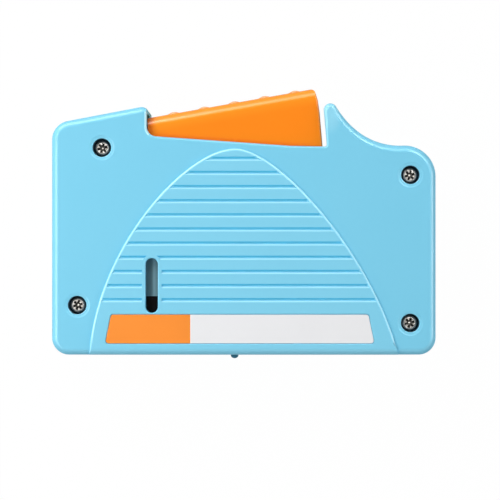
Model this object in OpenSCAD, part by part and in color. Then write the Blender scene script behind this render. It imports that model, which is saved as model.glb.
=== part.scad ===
// Wipe cassette for fibre optic connectors: a squeeze lever winds the wipe tape on and slides the
// shutter open over the wiping window. The cassette lies on its back: X runs along the case, Y runs
// up from the window edge to the lever, Z runs from the back to the front. The origin is on the back
// face, in the middle of the seventh rib. Heights are measured from the window edge and brought to
// the origin by from_edge().

/* [Case] */
// Width of the case
case_w = 130; // [128:1:140]
// Height of the case, from the window edge to the tip of the horn
case_h = 85; // [84:1:92]
// Depth of the case over both grip panels
case_d = 32; // [31:0.5:36]
// Wall of the case
wall = 2.2; // [1.6:0.1:2.4]
// Rounding of the outer rims of the case
rim_r = 2.4; // [1.2:0.1:2.6]
// Rounding of the rims round the lever notch
notch_rim_r = 0.8; // [0.4:0.1:1]
// Corner radius at the window edge
foot_corner_r = 5.8; // [4:0.1:8]
// Corner radius of the shoulder over the supply reel
back_corner_r = 6.5; // [5:0.1:8]
// Corner radius of the shoulder over the take-up reel
front_corner_r = 10.5; // [8:0.1:11]
// Radius of the horn's tip
horn_r = 2.27; // [1.9:0.01:2.4]
// Radius of the notch corner over the lever hinge
notch_corner_r = 3.3; // [2:0.1:4]
// Bevel along the seam of the two shells
seam = 0.25; // [0.1:0.05:0.4]

/* [Grip panel] */
// Height of the panel above the case's face
panel_rise = 0.8; // [0.5:0.1:1]
// Number of grooves over the label
groove_count = 11; // [5:1:11]
// Distance from groove to groove
groove_pitch = 4.77; // [4.6:0.01:4.9]
// Width of a groove
groove_w = 1.2; // [0.8:0.1:1.6]
// Depth of a groove
groove_d = 0.5; // [0.3:0.05:0.7]
// Number of grooves more on the back, where there is no label
back_groove_extra = 3; // [0:1:3]

/* [Label and sight slot] */
// Height of the label
label_h = 10; // [8:0.5:10.4]
// Length of the label along its lower edge
label_w = 91.1; // [80:0.1:93]
// Thickness of the label
label_t = 0.4; // [0.2:0.05:0.45]
// Depth of the recess that holds the label
label_recess = 0.5; // [0.4:0.05:0.6]
// Length of the sight slot
slot_h = 18.4; // [12:0.1:19]
// Width of the sight slot
slot_w = 4.1; // [3:0.1:5]
// Width of the plain border that the grooves leave round the slot
slot_pad = 1.3; // [0.8:0.1:1.5]
// Thickness of the clear strip behind the slot
pane_t = 0.8; // [0.5:0.1:1.2]

/* [Screws] */
// Diameter of a screw head
head_dia = 4.8; // [4:0.1:5.4]
// Diameter of a screw shank
shank_dia = 2.9; // [2.4:0.1:3]
// Diameter of the well over a screw head
well_dia = 6.2; // [6:0.1:6.8]
// Depth of the screw head below the case's face
head_sunk = 2.6; // [1.5:0.1:3]

/* [Lever] */
// Swing of the lever, rest to full squeeze, in degrees
lever_swing = 12; // [8:0.5:12]
// Wall of the lever
lever_wall = 2.4; // [1.6:0.1:2.8]
// Rounding along the top of the lever
lever_soft_r = 3.5; // [2:0.1:4]
// Number of cross ribs on the lever
rib_count = 5; // [3:1:5]
// Height of a cross rib
rib_rise = 1.2; // [0.8:0.1:1.5]
// Half the width of a cross rib
rib_half_w = 2.6; // [2:0.1:2.8]
// Diameter of the lever pin
hinge_dia = 3; // [2.4:0.1:3.4]
// Wire of the lever spring
spring_wire = 0.7; // [0.5:0.05:0.8]

/* [Gear train] */
// Teeth of the full circle that the lever's sector is a part of
sector_teeth = 108; // [106:1:110]
// Teeth of the drive gear
drive_teeth = 32; // [31:1:33]
// Teeth of the idler's small gear
idler_small_teeth = 14; // [13:1:15]
// Teeth of the idler's large gear
idler_large_teeth = 16; // [15:1:16]
// Thickness of the drive gear
gear_t = 3.4; // [2.6:0.1:3.6]
// Thickness of the rack and the idler's large gear
rack_t = 2.6; // [1.8:0.1:2.7]
// Diameter of the take-up spindle
spindle_dia = 5; // [4:0.1:5.4]
// Diameter of the idler pin
idler_pin_dia = 3; // [2.4:0.1:3.4]

/* [Tape and reels] */
// Room between the wipe tape and the front wall, for the upper flange and the posts
front_room = 5.9; // [4.5:0.1:6.5]
// Thickness of the wipe tape
tape_t = 0.3; // [0.2:0.05:0.4]
// Radius of the full supply roll
supply_r = 24.5; // [18:0.5:24.5]
// Radius of the used tape on the take-up reel
take_up_r = 11; // [10.6:0.1:13]
// Radius of both reel hubs
hub_r = 9; // [8.6:0.1:9.6]
// Radius of the take-up reel's flanges
flange_r = 16.9; // [15:0.1:17]
// Thickness of a reel flange
flange_t = 0.9; // [0.7:0.1:1]
// Radius of the guide rollers
roller_r = 2.9; // [2.4:0.1:3.2]
// Diameter of the roller pins
roller_pin_dia = 2.4; // [2:0.1:2.6]

/* [Window and shutter] */
// Length of the wiping window
window_w = 11.6; // [9:0.1:11.8]
// Thickness of the shutter
shutter_t = 1.6; // [1.2:0.1:1.6]
// Height of the rack's back, below its teeth
rack_back = 3; // [2:0.1:3.4]
// Width of the thumb ridge on the shutter
ridge_w = 2.6; // [2:0.1:3]
// Height of the thumb ridge below the window edge
ridge_h = 2.2; // [1:0.1:2.4]
// Thickness of the pad that backs the tape
pad_t = 2.5; // [1.5:0.1:3]

/* [Hidden] */
$fn = 48;

// Gap between parts that move past each other
gap = 0.3;
// Radial play of a shaft in its bore
play = 0.08;
// Overrun of a cut past the face that it opens
over = 1;
// Gap between the tape and what it runs over
tape_gap = 0.15;
// Play between meshed teeth, along the pitch line
tooth_play = 0.24;
// Pressure angle of the teeth
pressure = 20;
// Steps in a rounded corner and in a rounded rim
corner_steps = 7;
rim_steps = 5;
// Steps along a long curve
curve_steps = 14;

// Places on the case, as shares of half its width and of its height
screw_shares = [[-0.738, 0.824], [0.866, 0.716], [-0.866, 0.198], [0.865, 0.127]];
supply_share = [-0.478, 0.518];
take_up_share = [0.554, 0.424];
hinge_share = [-0.585, 0.888];
roller_left_share = [-0.7, 0.154];
roller_right_share = [0.166, 0.154];
slot_share = [-0.478, 0.276];
window_share = -0.049;
window_tape_share = 0.75;
label_share = [-0.021, 0.1035];
horn_share = [0.451, 0.975];
apex_share = [-0.045, 0.821];
panel_foot_shares = [-0.803, 0.806];
panel_bend_shares = [[-0.784, 0.36], [0.733, 0.261]];
panel_head_shares = [-0.285, 0.309];
head_post_shares = [[-0.262, 0.145], [0.01, 0.21]];
groove_top_share = 0.78;
back_slope = 10.8;
back_height_share = 0.92;
shoulder_height_share = 0.834;
scoop_bend_shares = [[0.723, 0.829], [0.585, 0.861]];
scoop_end_angle = 25;
notch_left_share = -0.505;
notch_right_share = 0.432;
notch_lip_share = 0.407;
notch_floor_shares = [[-0.459, 0.8695], [0.24, 0.832], [0.41, 0.829]];
lever_left_share = -0.4985;
lever_top_share = 0.9465;
lever_right_share = 0.411;
lever_slope = 9.9;
lever_end_shares = [[0.3955, 0.967], [0.386, 1.0155]];
lever_crown_share = 0.366;
rib_first_share = -0.369;
rib_last_share = 0.269;

function place(share) = [share[0] * case_w / 2, share[1] * case_h];
function across(share) = share * case_w / 2;
function turn(angle) = [cos(angle), sin(angle)];
function heading(from, to) = atan2(to[1] - from[1], to[0] - from[0]);

mid_z = case_d / 2;
face_z = case_d - panel_rise;
inner_z = face_z - wall;
inner_back_z = case_d - inner_z;
supply = place(supply_share);
take_up = place(take_up_share);
hinge = place(hinge_share);
roller_left = place(roller_left_share);
roller_right = place(roller_right_share);
window_x = across(window_share);
groove_top = groove_top_share * case_h;
rest_up = groove_top - (6 + 1 / 2) * groove_pitch;

// The gear train: the sector on the lever drives the gear on the spindle, and that gear's idler
// drives the rack of the shutter. The module follows from the distance of hinge and spindle.
drive_angle = heading(hinge, take_up);
tooth_module = 2 * norm(take_up - hinge) / (sector_teeth + drive_teeth);
sector_r = tooth_module * sector_teeth / 2;
drive_r = tooth_module * drive_teeth / 2;
small_r = tooth_module * idler_small_teeth / 2;
large_r = tooth_module * idler_large_teeth / 2;
tip_share = 0.9;
root_share = 1.2;
tooth_tip = tip_share * tooth_module;
tooth_root = root_share * tooth_module;
shutter_y = wall + gap;
rack_y = shutter_y + rack_back + tooth_root;
idler_angle = 180 + asin((take_up[1] - rack_y - large_r) / (drive_r + small_r));
idler = take_up + (drive_r + small_r) * turn(idler_angle);
drive_phase = drive_angle + 180 + 180 / drive_teeth;
drive_step = (idler_angle - drive_phase) * drive_teeth / 360;
idler_phase = idler_angle + 180 + (drive_step - floor(drive_step) + 1 / 2) * 360 / idler_small_teeth;
idler_turn = lever_swing * sector_teeth / idler_small_teeth;
shutter_travel = idler_turn * PI / 180 * large_r;

// Layers from the back to the front: gears, then rack, then tape
gear_z = inner_back_z + gap;
rack_z = gear_z + gear_t + gap;
reel_z = rack_z + rack_t + gap;
tape_z = reel_z + flange_t + gap;
tape_top_z = inner_z - front_room;
tape_w = tape_top_z - tape_z;
window_d = tape_w * window_tape_share;
reel_top_z = tape_top_z + gap + flange_t;
tape_mid_z = tape_z + tape_w / 2;

// Heights of what lies over the window
head_y = shutter_y + shutter_t + gap;
head_t = 1.6;
pad_y = roller_left[1] - roller_r - tape_gap;

echo(tooth_module = tooth_module, idler = idler, shutter_travel = shutter_travel, rest_up = rest_up);
echo(hinge = hinge, take_up = take_up, supply = supply, tape_mid_z = tape_mid_z);

// Outlines
// A corner given as [x, y, radius] becomes an arc, or stays a point where the radius is zero.
function unit(v) = v / norm(v);
function corner(a, b, c) =
    b[2] == 0
        ? [[b[0], b[1]]]
        : let (
            here = [b[0], b[1]],
            u = unit([a[0], a[1]] - here),
            v = unit([c[0], c[1]] - here),
            half = acos(u * v) / 2,
            reach = min(b[2] / tan(half), norm([a[0], a[1]] - here) * 0.9, norm([c[0], c[1]] - here) * 0.9),
            radius = reach * tan(half),
            middle = here + unit(u + v) * radius / sin(half),
            start = heading(middle, here + u * reach),
            swing = heading(middle, here + v * reach) - start,
            sweep = swing > 180 ? swing - 360 : swing < -180 ? swing + 360 : swing
        )
        [for (k = [0:corner_steps]) middle + radius * turn(start + sweep * k / corner_steps)];
function rounded(points) =
    let (n = len(points))
    [for (i = [0:n - 1]) each corner(points[(i + n - 1) % n], points[i], points[(i + 1) % n])];
function bezier(p, t) =
    pow(1 - t, 3) * p[0] + 3 * pow(1 - t, 2) * t * p[1] + 3 * (1 - t) * t * t * p[2] + t * t * t * p[3];
function arc(middle, radius, from, to, steps) =
    [for (k = [0:steps]) middle + radius * turn(from + (to - from) * k / steps)];
function with_rim(points, radius) = [for (p = points) [p[0], p[1], radius]];
function reversed(points) = [for (i = [len(points) - 1:-1:0]) points[i]];

// Outward direction at each point of an outline that runs counter-clockwise
function outward(points) =
    let (n = len(points))
    [for (i = [0:n - 1])
        let (d = points[(i + 1) % n] - points[(i + n - 1) % n])
        unit([d[1], -d[0]])];
function flat(points) = [for (p = points) [p[0], p[1]]];
function inset(points, amount) =
    let (n = outward(points))
    [for (i = [0:len(points) - 1]) points[i] - amount * n[i]];

// One ring of a rounded rim: each outline point carries its own rim radius. Way is 1 for an upper
// rim and -1 for a lower one, out is 1 where the rim draws in and -1 where it flares.
function rim_ring(rim, z, way, out, angle) =
    let (n = outward(flat(rim)))
    [for (i = [0:len(rim) - 1])
        let (
            r = rim[i][2],
            p = flat(rim)[i] - out * r * (1 - cos(angle)) * n[i]
        )
        [p[0], p[1], z - way * r * (1 - sin(angle))]];

// A closed solid over rings of equal length, its flat ends fanned from the point numbered hub
module skin(rings, hub) {
    n = len(rings[0]);
    top = len(rings) - 1;
    sides = [for (k = [0:top - 1], i = [0:n - 1])
        let (a = k * n + i, b = k * n + (i + 1) % n)
        each [[a, a + n, b], [b, a + n, b + n]]];
    ends = [for (i = [1:n - 2])
        let (a = (hub + i) % n, b = (hub + i + 1) % n)
        each [[hub, a, b], [top * n + hub, top * n + b, top * n + a]]];
    polyhedron(points = [for (ring = rings) each ring], faces = concat(sides, ends));
}

// The case's outline, counter-clockwise from the window edge
panel_feet = [across(panel_foot_shares[0]), across(panel_foot_shares[1])];
horn = place(horn_share);
fan_x = horn[0] - horn_r * 0.8;
function back_line(x) = back_height_share * case_h + (x + case_w / 2) * tan(back_slope);
shoulder_y = shoulder_height_share * case_h;
scoop_start = [case_w / 2 - front_corner_r, shoulder_y];
scoop_end = horn + horn_r * turn(scoop_end_angle);
scoop = [scoop_start, place(scoop_bend_shares[0]), place(scoop_bend_shares[1]), scoop_end];
horn_rim_r = rim_r * 2 / 3;
case_rim = concat(
    [[fan_x, 0, rim_r]],
    with_rim(arc([case_w / 2 - foot_corner_r, foot_corner_r], foot_corner_r, -90, 0, corner_steps), rim_r),
    with_rim(arc([case_w / 2 - front_corner_r, shoulder_y - front_corner_r], front_corner_r, 0, 90,
        corner_steps), rim_r),
    [for (k = [1:curve_steps - 1])
        let (t = k / curve_steps, p = bezier(scoop, t))
        [p[0], p[1], rim_r + (horn_rim_r - rim_r) * pow(t, 3)]],
    with_rim(arc(horn, horn_r, scoop_end_angle, 180, corner_steps + 2), horn_rim_r),
    [[across(notch_left_share) + over, back_line(across(notch_left_share) + over), rim_r]],
    with_rim(corner(
        [0, back_line(0)],
        [-case_w / 2, back_line(-case_w / 2), back_corner_r],
        [-case_w / 2, 0]), rim_r),
    with_rim(arc([foot_corner_r - case_w / 2, foot_corner_r], foot_corner_r, 180, 270, corner_steps), rim_r)
);

// The notch between the shoulder and the horn, with its rounded floor corners
notch_left = across(notch_left_share);
notch_right = across(notch_right_share);
notch_lip = across(notch_lip_share);
notch_roof = 1.2 * case_h;
notch_soft = 0.7;
notch_fall = 4;
notch_draft = 0.8;
notch_floor = [for (share = notch_floor_shares) place(share)];
notch_line = rounded([
    [notch_left, notch_floor[0][1] + tan(notch_fall) * (notch_floor[0][0] - notch_left), notch_corner_r],
    [notch_floor[1][0], notch_floor[1][1], 0],
    [notch_right, notch_floor[2][1], notch_soft],
    [notch_lip, horn[1] + horn_r, 0],
    [notch_lip, notch_roof, 0],
    [notch_left - notch_soft - over, notch_roof, 0],
    [notch_left - notch_soft - over, back_line(notch_left), 0],
    [notch_left, back_line(notch_left), notch_soft]
]);

// The raised grip panel: a lopsided arch of two curves that stand on the window edge
apex = place(apex_share);
panel_left = [apex, [apex[0] + across(panel_head_shares[0]), apex[1]], place(panel_bend_shares[0]),
    [panel_feet[0], 0]];
panel_right = [apex, [apex[0] + across(panel_head_shares[1]), apex[1]], place(panel_bend_shares[1]),
    [panel_feet[1], 0]];
panel_line = concat(
    [for (k = [curve_steps:-1:1]) bezier(panel_right, k / curve_steps)],
    [for (k = [0:curve_steps]) bezier(panel_left, k / curve_steps)]
);

// The lever seen from the front, and its top line
lever_left = across(lever_left_share);
lever_right = across(lever_right_share);
lever_side_r = 1.5;
lever_end_r = 2.2;
lever_edge_r = 0.5;
lever_draft = 1.1;
lever_lap = 1.3;
lever_crown = [across(lever_crown_share), lever_y(across(lever_crown_share))];
function lever_y(x) = lever_top_share * case_h + (x - lever_left) * tan(lever_slope);
lever_line = [
    [lever_left, notch_floor[0][1] - lever_lap, notch_corner_r, lever_side_r],
    [notch_floor[1][0], notch_floor[1][1] - 1.5 * lever_lap, 0, lever_side_r],
    [lever_right, notch_floor[2][1] - 1.5 * lever_lap, 0, lever_side_r],
    [lever_right, notch_floor[2][1], 0, lever_end_r],
    [across(lever_end_shares[0][0]), case_h * lever_end_shares[0][1], 0, lever_end_r],
    [across(lever_end_shares[1][0]), case_h * lever_end_shares[1][1], 0, lever_end_r],
    [lever_crown[0], lever_crown[1], lever_end_r + gap, lever_end_r],
    [lever_left, lever_y(lever_left), 2 * lever_edge_r, lever_edge_r]
];
function lever_rim() =
    let (n = len(lever_line))
    [for (i = [0:n - 1])
        each with_rim(corner(lever_line[(i + n - 1) % n], lever_line[i], lever_line[(i + 1) % n]),
            lever_line[i][3])];
lever_z = inner_back_z + 0.4;
lever_top_z = case_d - lever_z;

// Shared shapes
module from_edge() translate([0, -rest_up, 0]) children();
module mirrored_back() translate([0, 0, case_d]) mirror([0, 0, 1]) children();
module rod(at, r, z0, z1) translate([at[0], at[1], z0]) cylinder(h = z1 - z0, r = r);
module plate(points, z0, z1) translate([0, 0, z0]) linear_extrude(z1 - z0) polygon(points);
module ring(at, r_out, r_in, z0, z1) {
    difference() {
        rod(at, r_out, z0, z1);
        rod(at, r_in, z0 - over, z1 + over);
    }
}
module slot_shape(grow) {
    at = place(slot_share);
    r = slot_w / 2;
    for (side = [-1, 1]) translate([at[0], at[1] + side * (slot_h / 2 - r)]) circle(r + grow);
    translate([at[0] - r - grow, at[1] - slot_h / 2 + r]) square([slot_w + 2 * grow, slot_h - slot_w]);
}
label_at = place(label_share);
label_lean = 2;
label_soft = 0.6;
module label_shape(shrink) {
    low = label_at[1] - label_h / 2 + shrink;
    high = label_at[1] + label_h / 2 - shrink;
    half = label_w / 2 - shrink;
    polygon(rounded([
        [label_at[0] - half, low, label_soft],
        [label_at[0] + half, low, label_soft],
        [label_at[0] + half - label_lean, high, label_soft],
        [label_at[0] - half + label_lean, high, label_soft]
    ]));
}

// Teeth
function involute(angle) = tan(angle) * 180 / PI - angle;
function tooth_half(r, teeth) =
    let (pitch_r = tooth_module * teeth / 2, base_r = pitch_r * cos(pressure))
    90 / teeth - tooth_play / 4 / pitch_r * 180 / PI
        + involute(pressure) - involute(acos(min(1, base_r / r)));
function tooth(teeth, middle_angle) =
    let (
        pitch_r = tooth_module * teeth / 2,
        base_r = pitch_r * cos(pressure),
        root_r = pitch_r - tooth_root,
        tip_r = pitch_r + tooth_tip,
        start_r = max(base_r, root_r),
        radii = concat(
            start_r > root_r ? [root_r] : [],
            [for (k = [0:3]) start_r + (tip_r - start_r) * k / 3]
        )
    )
    concat(
        [for (r = radii) r * turn(middle_angle - tooth_half(max(r, start_r), teeth))],
        [for (r = reversed(radii)) r * turn(middle_angle + tooth_half(max(r, start_r), teeth))]
    );
module gear(teeth, phase, t) {
    linear_extrude(t) polygon([for (k = [0:teeth - 1]) each tooth(teeth, phase + k * 360 / teeth)]);
}

// Half of the case, drawn as the front half
cavity_line = rounded([
    [wall - case_w / 2, wall, foot_corner_r - wall],
    [case_w / 2 - wall, wall, foot_corner_r - wall],
    [case_w / 2 - wall, shoulder_y - 1.3 * wall, front_corner_r - wall],
    [notch_right - tape_gap, notch_floor[2][1] - wall, 0],
    [notch_right - tape_gap, notch_floor[2][1] + notch_soft, 0],
    [notch_lip - tape_gap, horn[1] - horn_r, 0],
    [notch_left + over, back_line(notch_left) - 1.02 * wall, 0],
    [wall - case_w / 2, back_line(wall - case_w / 2) - 1.02 * wall, back_corner_r - wall]
]);
horn_core = [
    [notch_right + notch_draft + wall, notch_floor[2][1] - wall - over],
    [scoop_start[0] - wall, notch_floor[2][1] - wall - over],
    bezier(scoop, 0.25) - [0, 1.1 * wall],
    bezier(scoop, 0.5) - [wall / 2, 1.2 * wall],
    bezier(scoop, 0.7) - wall * [1, 1],
    [notch_right + notch_draft + 0.9 * wall, bezier(scoop, 0.8)[1] - 1.2 * wall]
];
screw_post_r = 4.4;
module half_shell(grooves, pad, leans) {
    rise_tuck = panel_rise / 4;
    difference() {
        union() {
            skin(concat(
                [rim_ring(with_rim(case_rim, seam), mid_z, -1, 1, 90)],
                [rim_ring(with_rim(case_rim, seam), mid_z, -1, 1, 0)],
                [for (k = [0:rim_steps]) rim_ring(case_rim, face_z, 1, 1, 90 * k / rim_steps)]
            ), 0);
            panel();
            for (share = screw_shares) rod(place(share), screw_post_r, mid_z, face_z - rise_tuck);
        }
        difference() {
            union() {
                plate(cavity_line, mid_z - over, inner_z);
                plate(horn_core, mid_z - over, inner_z);
            }
            for (share = screw_shares) rod(place(share), screw_post_r, mid_z - 2 * over, inner_z + over);
        }
        notch_cut(leans);
        translate([0, 0, case_d - groove_d]) linear_extrude(groove_d + over) difference() {
            intersection() {
                polygon(inset(panel_line, 2 * panel_rise));
                for (k = [0:grooves - 1])
                    translate([-case_w / 2, groove_top - k * groove_pitch - groove_w / 2])
                        square([case_w, groove_w]);
            }
            if (pad > 0) slot_shape(pad);
        }
    }
}
// The grip panel stands proud of the face: a narrow bevel along its arch, the case's own rim at its foot
module panel() {
    tuck = panel_rise / 4;
    n = len(panel_line);
    side = with_rim(panel_line, panel_rise);
    base = [for (i = [0:n - 1])
        i == 0 || i == n - 1
            ? [panel_line[i][0], tuck, case_d - rim_r - tuck]
            : [panel_line[i][0], panel_line[i][1], face_z - tuck]];
    rings = [for (k = [0:rim_steps])
        let (angle = 90 * k / rim_steps, plain = rim_ring(side, case_d, 1, 1, angle))
        [for (i = [0:n - 1])
            i == 0 || i == n - 1
                ? [panel_line[i][0] + (i == 0 ? -1 : 1) * panel_rise * (1 - cos(angle)),
                    rim_r * (1 - cos(angle)), case_d - rim_r * (1 - sin(angle))]
                : plain[i]]];
    skin(concat([base], rings), 0);
}
// The notch is cut with a draft on the horn's side, its lean given at the seam and at the face
function leaned(points, lean) = [for (p = points) p[0] > notch_lip - over ? p + [lean, 0] : p];
module notch_cut(leans) {
    rim = with_rim(leaned(notch_line, leans[1]), notch_rim_r);
    top = rim_ring(rim, face_z, 1, -1, 90);
    skin(concat(
        [[for (p = leaned(notch_line, leans[0])) [p[0], p[1], mid_z - over]]],
        [for (k = [0:rim_steps]) rim_ring(rim, face_z, 1, -1, 90 * k / rim_steps)],
        [[for (p = top) [p[0], p[1], case_d + over]]]
    ), len(notch_line) - corner_steps - 3);
}

// Seats for the pins, posts and rails inside the shells
boss_wall = 1.7;
pin_seat = wall * 3 / 4;
seat_play = play / 2;
hinge_boss_z = 2.6;
roller_base_z = tape_z - gap;
post_r = 2.2;
peg_r = 1.1;
cheek_t = 0.8;
cheek_z = reel_z;
cheek_top_z = reel_top_z;
head_posts = [for (share = head_post_shares) place(share)];
well_floor_z = face_z - head_sunk - head_dia * 0.4;
pilot_z = case_d - well_floor_z;
recess_length_share = 1.3;
recess_width_share = 0.33;
window_low_z = tape_mid_z - window_d / 2;
module window_cut() {
    left = window_x - shutter_travel - ridge_w / 2 - gap;
    right = window_x + window_w / 2;
    translate([left, -over, window_low_z]) cube([right - left, wall + 2 * over, window_d]);
}
module guide_rail(z0, z1) {
    left = window_x - window_w / 2 - 1.7 * shutter_travel;
    translate([left, wall - tape_gap, z0]) cube([window_x - left, shutter_t + tape_gap, z1 - z0]);
}
module screw_well(at) {
    rod(at, well_dia / 2, well_floor_z, case_d);
    rod(at, shank_dia / 2 + play, mid_z - over, case_d);
    translate([at[0], at[1], face_z - rim_r / 6])
        cylinder(h = rim_r / 6 + over / 100, r1 = well_dia / 2, r2 = well_dia / 2 + rim_r / 2);
}
module front_shell() {
    color("SkyBlue") from_edge() difference() {
        union() {
            half_shell(groove_count, slot_pad, [notch_draft, 0]);
            rod(hinge, hinge_dia / 2 + boss_wall, inner_z - hinge_boss_z, face_z - wall / 2);
            rod(take_up, spindle_dia / 2 + boss_wall, reel_top_z + gap, face_z - wall / 2);
            rod(idler, idler_pin_dia / 2 + boss_wall, inner_z - hinge_boss_z, face_z - wall / 2);
            rod(roller_left, post_r + gap, tape_top_z + gap, face_z - wall / 2);
            for (at = head_posts) rod(at, post_r, cheek_top_z, face_z - wall / 2);
            guide_rail(reel_top_z + gap, inner_z + tape_gap);
        }
        rod(hinge, hinge_dia / 2 + seat_play, mid_z, inner_z + over / 2);
        rod(take_up, spindle_dia / 2 + seat_play, mid_z, inner_z + over / 2);
        rod(idler, idler_pin_dia / 2 + seat_play, mid_z, inner_z + over / 2);
        rod(roller_left, roller_pin_dia / 2 + seat_play, mid_z, cheek_top_z + over);
        translate([0, 0, inner_z - over]) linear_extrude(case_d) slot_shape(0);
        translate([0, 0, case_d - label_recess]) linear_extrude(label_recess + over) label_shape(0);
        for (share = screw_shares) screw_well(place(share));
        window_cut();
    }
}
module rear_shell() {
    color("SkyBlue") from_edge() difference() {
        union() {
            mirrored_back() half_shell(groove_count + back_groove_extra, 0, [notch_draft, 2 * notch_draft]);
            rod(hinge, hinge_dia / 2 + boss_wall, inner_back_z - wall / 2, inner_back_z + hinge_boss_z);
            rod(supply, hub_r - boss_wall, inner_back_z - wall / 2, reel_z - pane_t - gap);
            rod(supply, spindle_dia - play, inner_back_z - wall / 2, reel_top_z);
            rod(roller_left, post_r + gap, inner_back_z - wall / 2, roller_base_z);
            for (at = head_posts) rod(at, post_r, inner_back_z - wall / 2, cheek_z);
            for (at = head_posts) rod(at, peg_r, inner_back_z, cheek_z + cheek_t + gap / 2);
            click_post();
            guide_rail(inner_back_z - tape_gap, rack_z - gap);
        }
        rod(hinge, hinge_dia / 2 + seat_play, inner_back_z - pin_seat, mid_z);
        rod(take_up, spindle_dia / 2 + seat_play, inner_back_z - pin_seat, mid_z);
        rod(idler, idler_pin_dia / 2 + seat_play, inner_back_z - pin_seat, mid_z);
        rod(roller_left, roller_pin_dia / 2 + seat_play, cheek_z - over, mid_z);
        for (share = screw_shares) rod(place(share), shank_dia / 2 + seat_play, pilot_z - over, mid_z + over);
        window_cut();
    }
}
module case_screws() {
    r = head_dia / 2;
    arm = [r * recess_length_share, r * recess_width_share, r];
    color("silver") from_edge() for (share = screw_shares) let (at = place(share)) difference() {
        union() {
            rod(at, shank_dia / 2, pilot_z, well_floor_z + over / 2);
            rod(at, r, well_floor_z, face_z - head_sunk);
        }
        translate([at[0], at[1], face_z - head_sunk - r / 2]) for (angle = [45, 135])
            rotate(angle) translate([-arm[0] / 2, -arm[1] / 2, 0]) cube(arm);
    }
}
module label() {
    color("WhiteSmoke") from_edge() translate([0, 0, case_d - label_recess]) linear_extrude(label_t)
        label_shape(gap / 2);
}
module sight_window() {
    at = place(slot_share);
    size = [slot_w + 2 * wall, slot_h + wall, pane_t];
    color("LightSteelBlue", 0.4) from_edge()
        translate([at[0] - size[0] / 2, at[1] - size[1] / 2, inner_z - pane_t]) cube(size);
}

// Lever with its toothed sector
sector_web = 7;
sector_lead = 5;
barrel_r = hinge_dia / 2 + 1.9;
barrel_z = inner_back_z + hinge_boss_z + gap;
spring_turns = 3;
spring_pitch = 1.6 * spring_wire;
spring_stack = spring_wire + (spring_turns + 1 / 2) * spring_pitch;
barrel_top_z = inner_z - hinge_boss_z - spring_stack - 3 * gap;
// The lever's free end leans outwards towards the back
function drafted(ring) = [for (p = ring) p[0] > lever_crown[0] - lever_soft_r
    ? p + [lever_draft * (lever_top_z - p[2]) / (lever_top_z - lever_z), 0, 0]
    : p];
module lever_body() {
    rim = lever_rim();
    pocket_top = lever_wall + lever_soft_r / 4;
    pocket = [
        [lever_left + lever_wall + lever_side_r, 0],
        [lever_crown[0] - lever_wall, 0],
        [lever_crown[0] - lever_wall, lever_y(lever_crown[0] - lever_wall) - pocket_top],
        [lever_left + lever_wall + lever_side_r, lever_y(lever_left + lever_wall) - pocket_top]
    ];
    difference() {
        intersection() {
            skin(concat(
                [for (k = [rim_steps:-1:0]) drafted(rim_ring(rim, lever_z, -1, 1, 90 * k / rim_steps))],
                [for (k = [0:rim_steps]) drafted(rim_ring(rim, lever_top_z, 1, 1, 90 * k / rim_steps))]
            ), 0);
            lever_roof();
        }
        plate(pocket, lever_z + lever_wall, lever_top_z - lever_wall);
    }
}
// A long bar under the lever's sloping top line, with both of its top edges well rounded
module lever_roof() {
    r = lever_soft_r;
    translate([lever_left, lever_y(lever_left), 0]) rotate([90, 0, 90 + lever_slope])
        translate([0, 0, -case_h]) linear_extrude(2 * case_w) polygon(concat(
            [[-case_h, lever_z]],
            arc([-r, lever_z + r], r, -90, 0, rim_steps + 1),
            arc([-r, lever_top_z - r], r, 0, 90, rim_steps + 1),
            [[-case_h, lever_top_z]]
        ));
}
module lever_rib(at_x) {
    r = (rib_half_w * rib_half_w + rib_rise * rib_rise) / (2 * rib_rise);
    reach = (lever_top_z - lever_z) / 2 - lever_soft_r - gap;
    translate([at_x, lever_y(at_x) - r + rib_rise, mid_z]) rotate([0, 0, lever_slope])
        rotate_extrude($fn = 32) polygon(concat(
            [[0, -reach]],
            arc([0, -reach + r], r, -90, 0, corner_steps),
            arc([0, reach - r], r, 0, 90, corner_steps),
            [[0, reach]]
        ));
}
module sector() {
    inner_r = sector_r - sector_web;
    first = -1 - floor(sector_lead * sector_teeth / 360);
    last = ceil((lever_swing + sector_lead) * sector_teeth / 360);
    top_angle = asin((lever_line[2][1] + 2 * lever_lap - hinge[1]) / sector_r);
    plate([for (p = concat(
        [inner_r * turn(drive_angle + (first - 1) * 360 / sector_teeth)],
        [for (k = [first:last]) each tooth(sector_teeth, drive_angle + k * 360 / sector_teeth)],
        arc([0, 0], sector_r - tooth_root, drive_angle + (last + 1) * 360 / sector_teeth, top_angle, 4),
        arc([0, 0], inner_r, top_angle, drive_angle + (first - 1) * 360 / sector_teeth, curve_steps)
    )) hinge + p], gear_z, gear_z + gear_t);
}
module lever() {
    color("DarkOrange") from_edge() difference() {
        union() {
            lever_body();
            for (k = [0:rib_count - 1])
                lever_rib(across(rib_first_share + (rib_last_share - rib_first_share) * k / (rib_count - 1)));
            rod(hinge, barrel_r, barrel_z, barrel_top_z);
            translate([hinge[0], hinge[1] - barrel_r * 2 / 3, barrel_z])
                cube([lever_left - hinge[0] + lever_side_r, barrel_r * 4 / 3, barrel_top_z - barrel_z]);
            sector();
        }
        rod(hinge, hinge_dia / 2 + play, 0, case_d);
    }
}
module lever_pin() {
    color("silver") from_edge() rod(hinge, hinge_dia / 2, inner_back_z - pin_seat + gap, inner_z);
}

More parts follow.
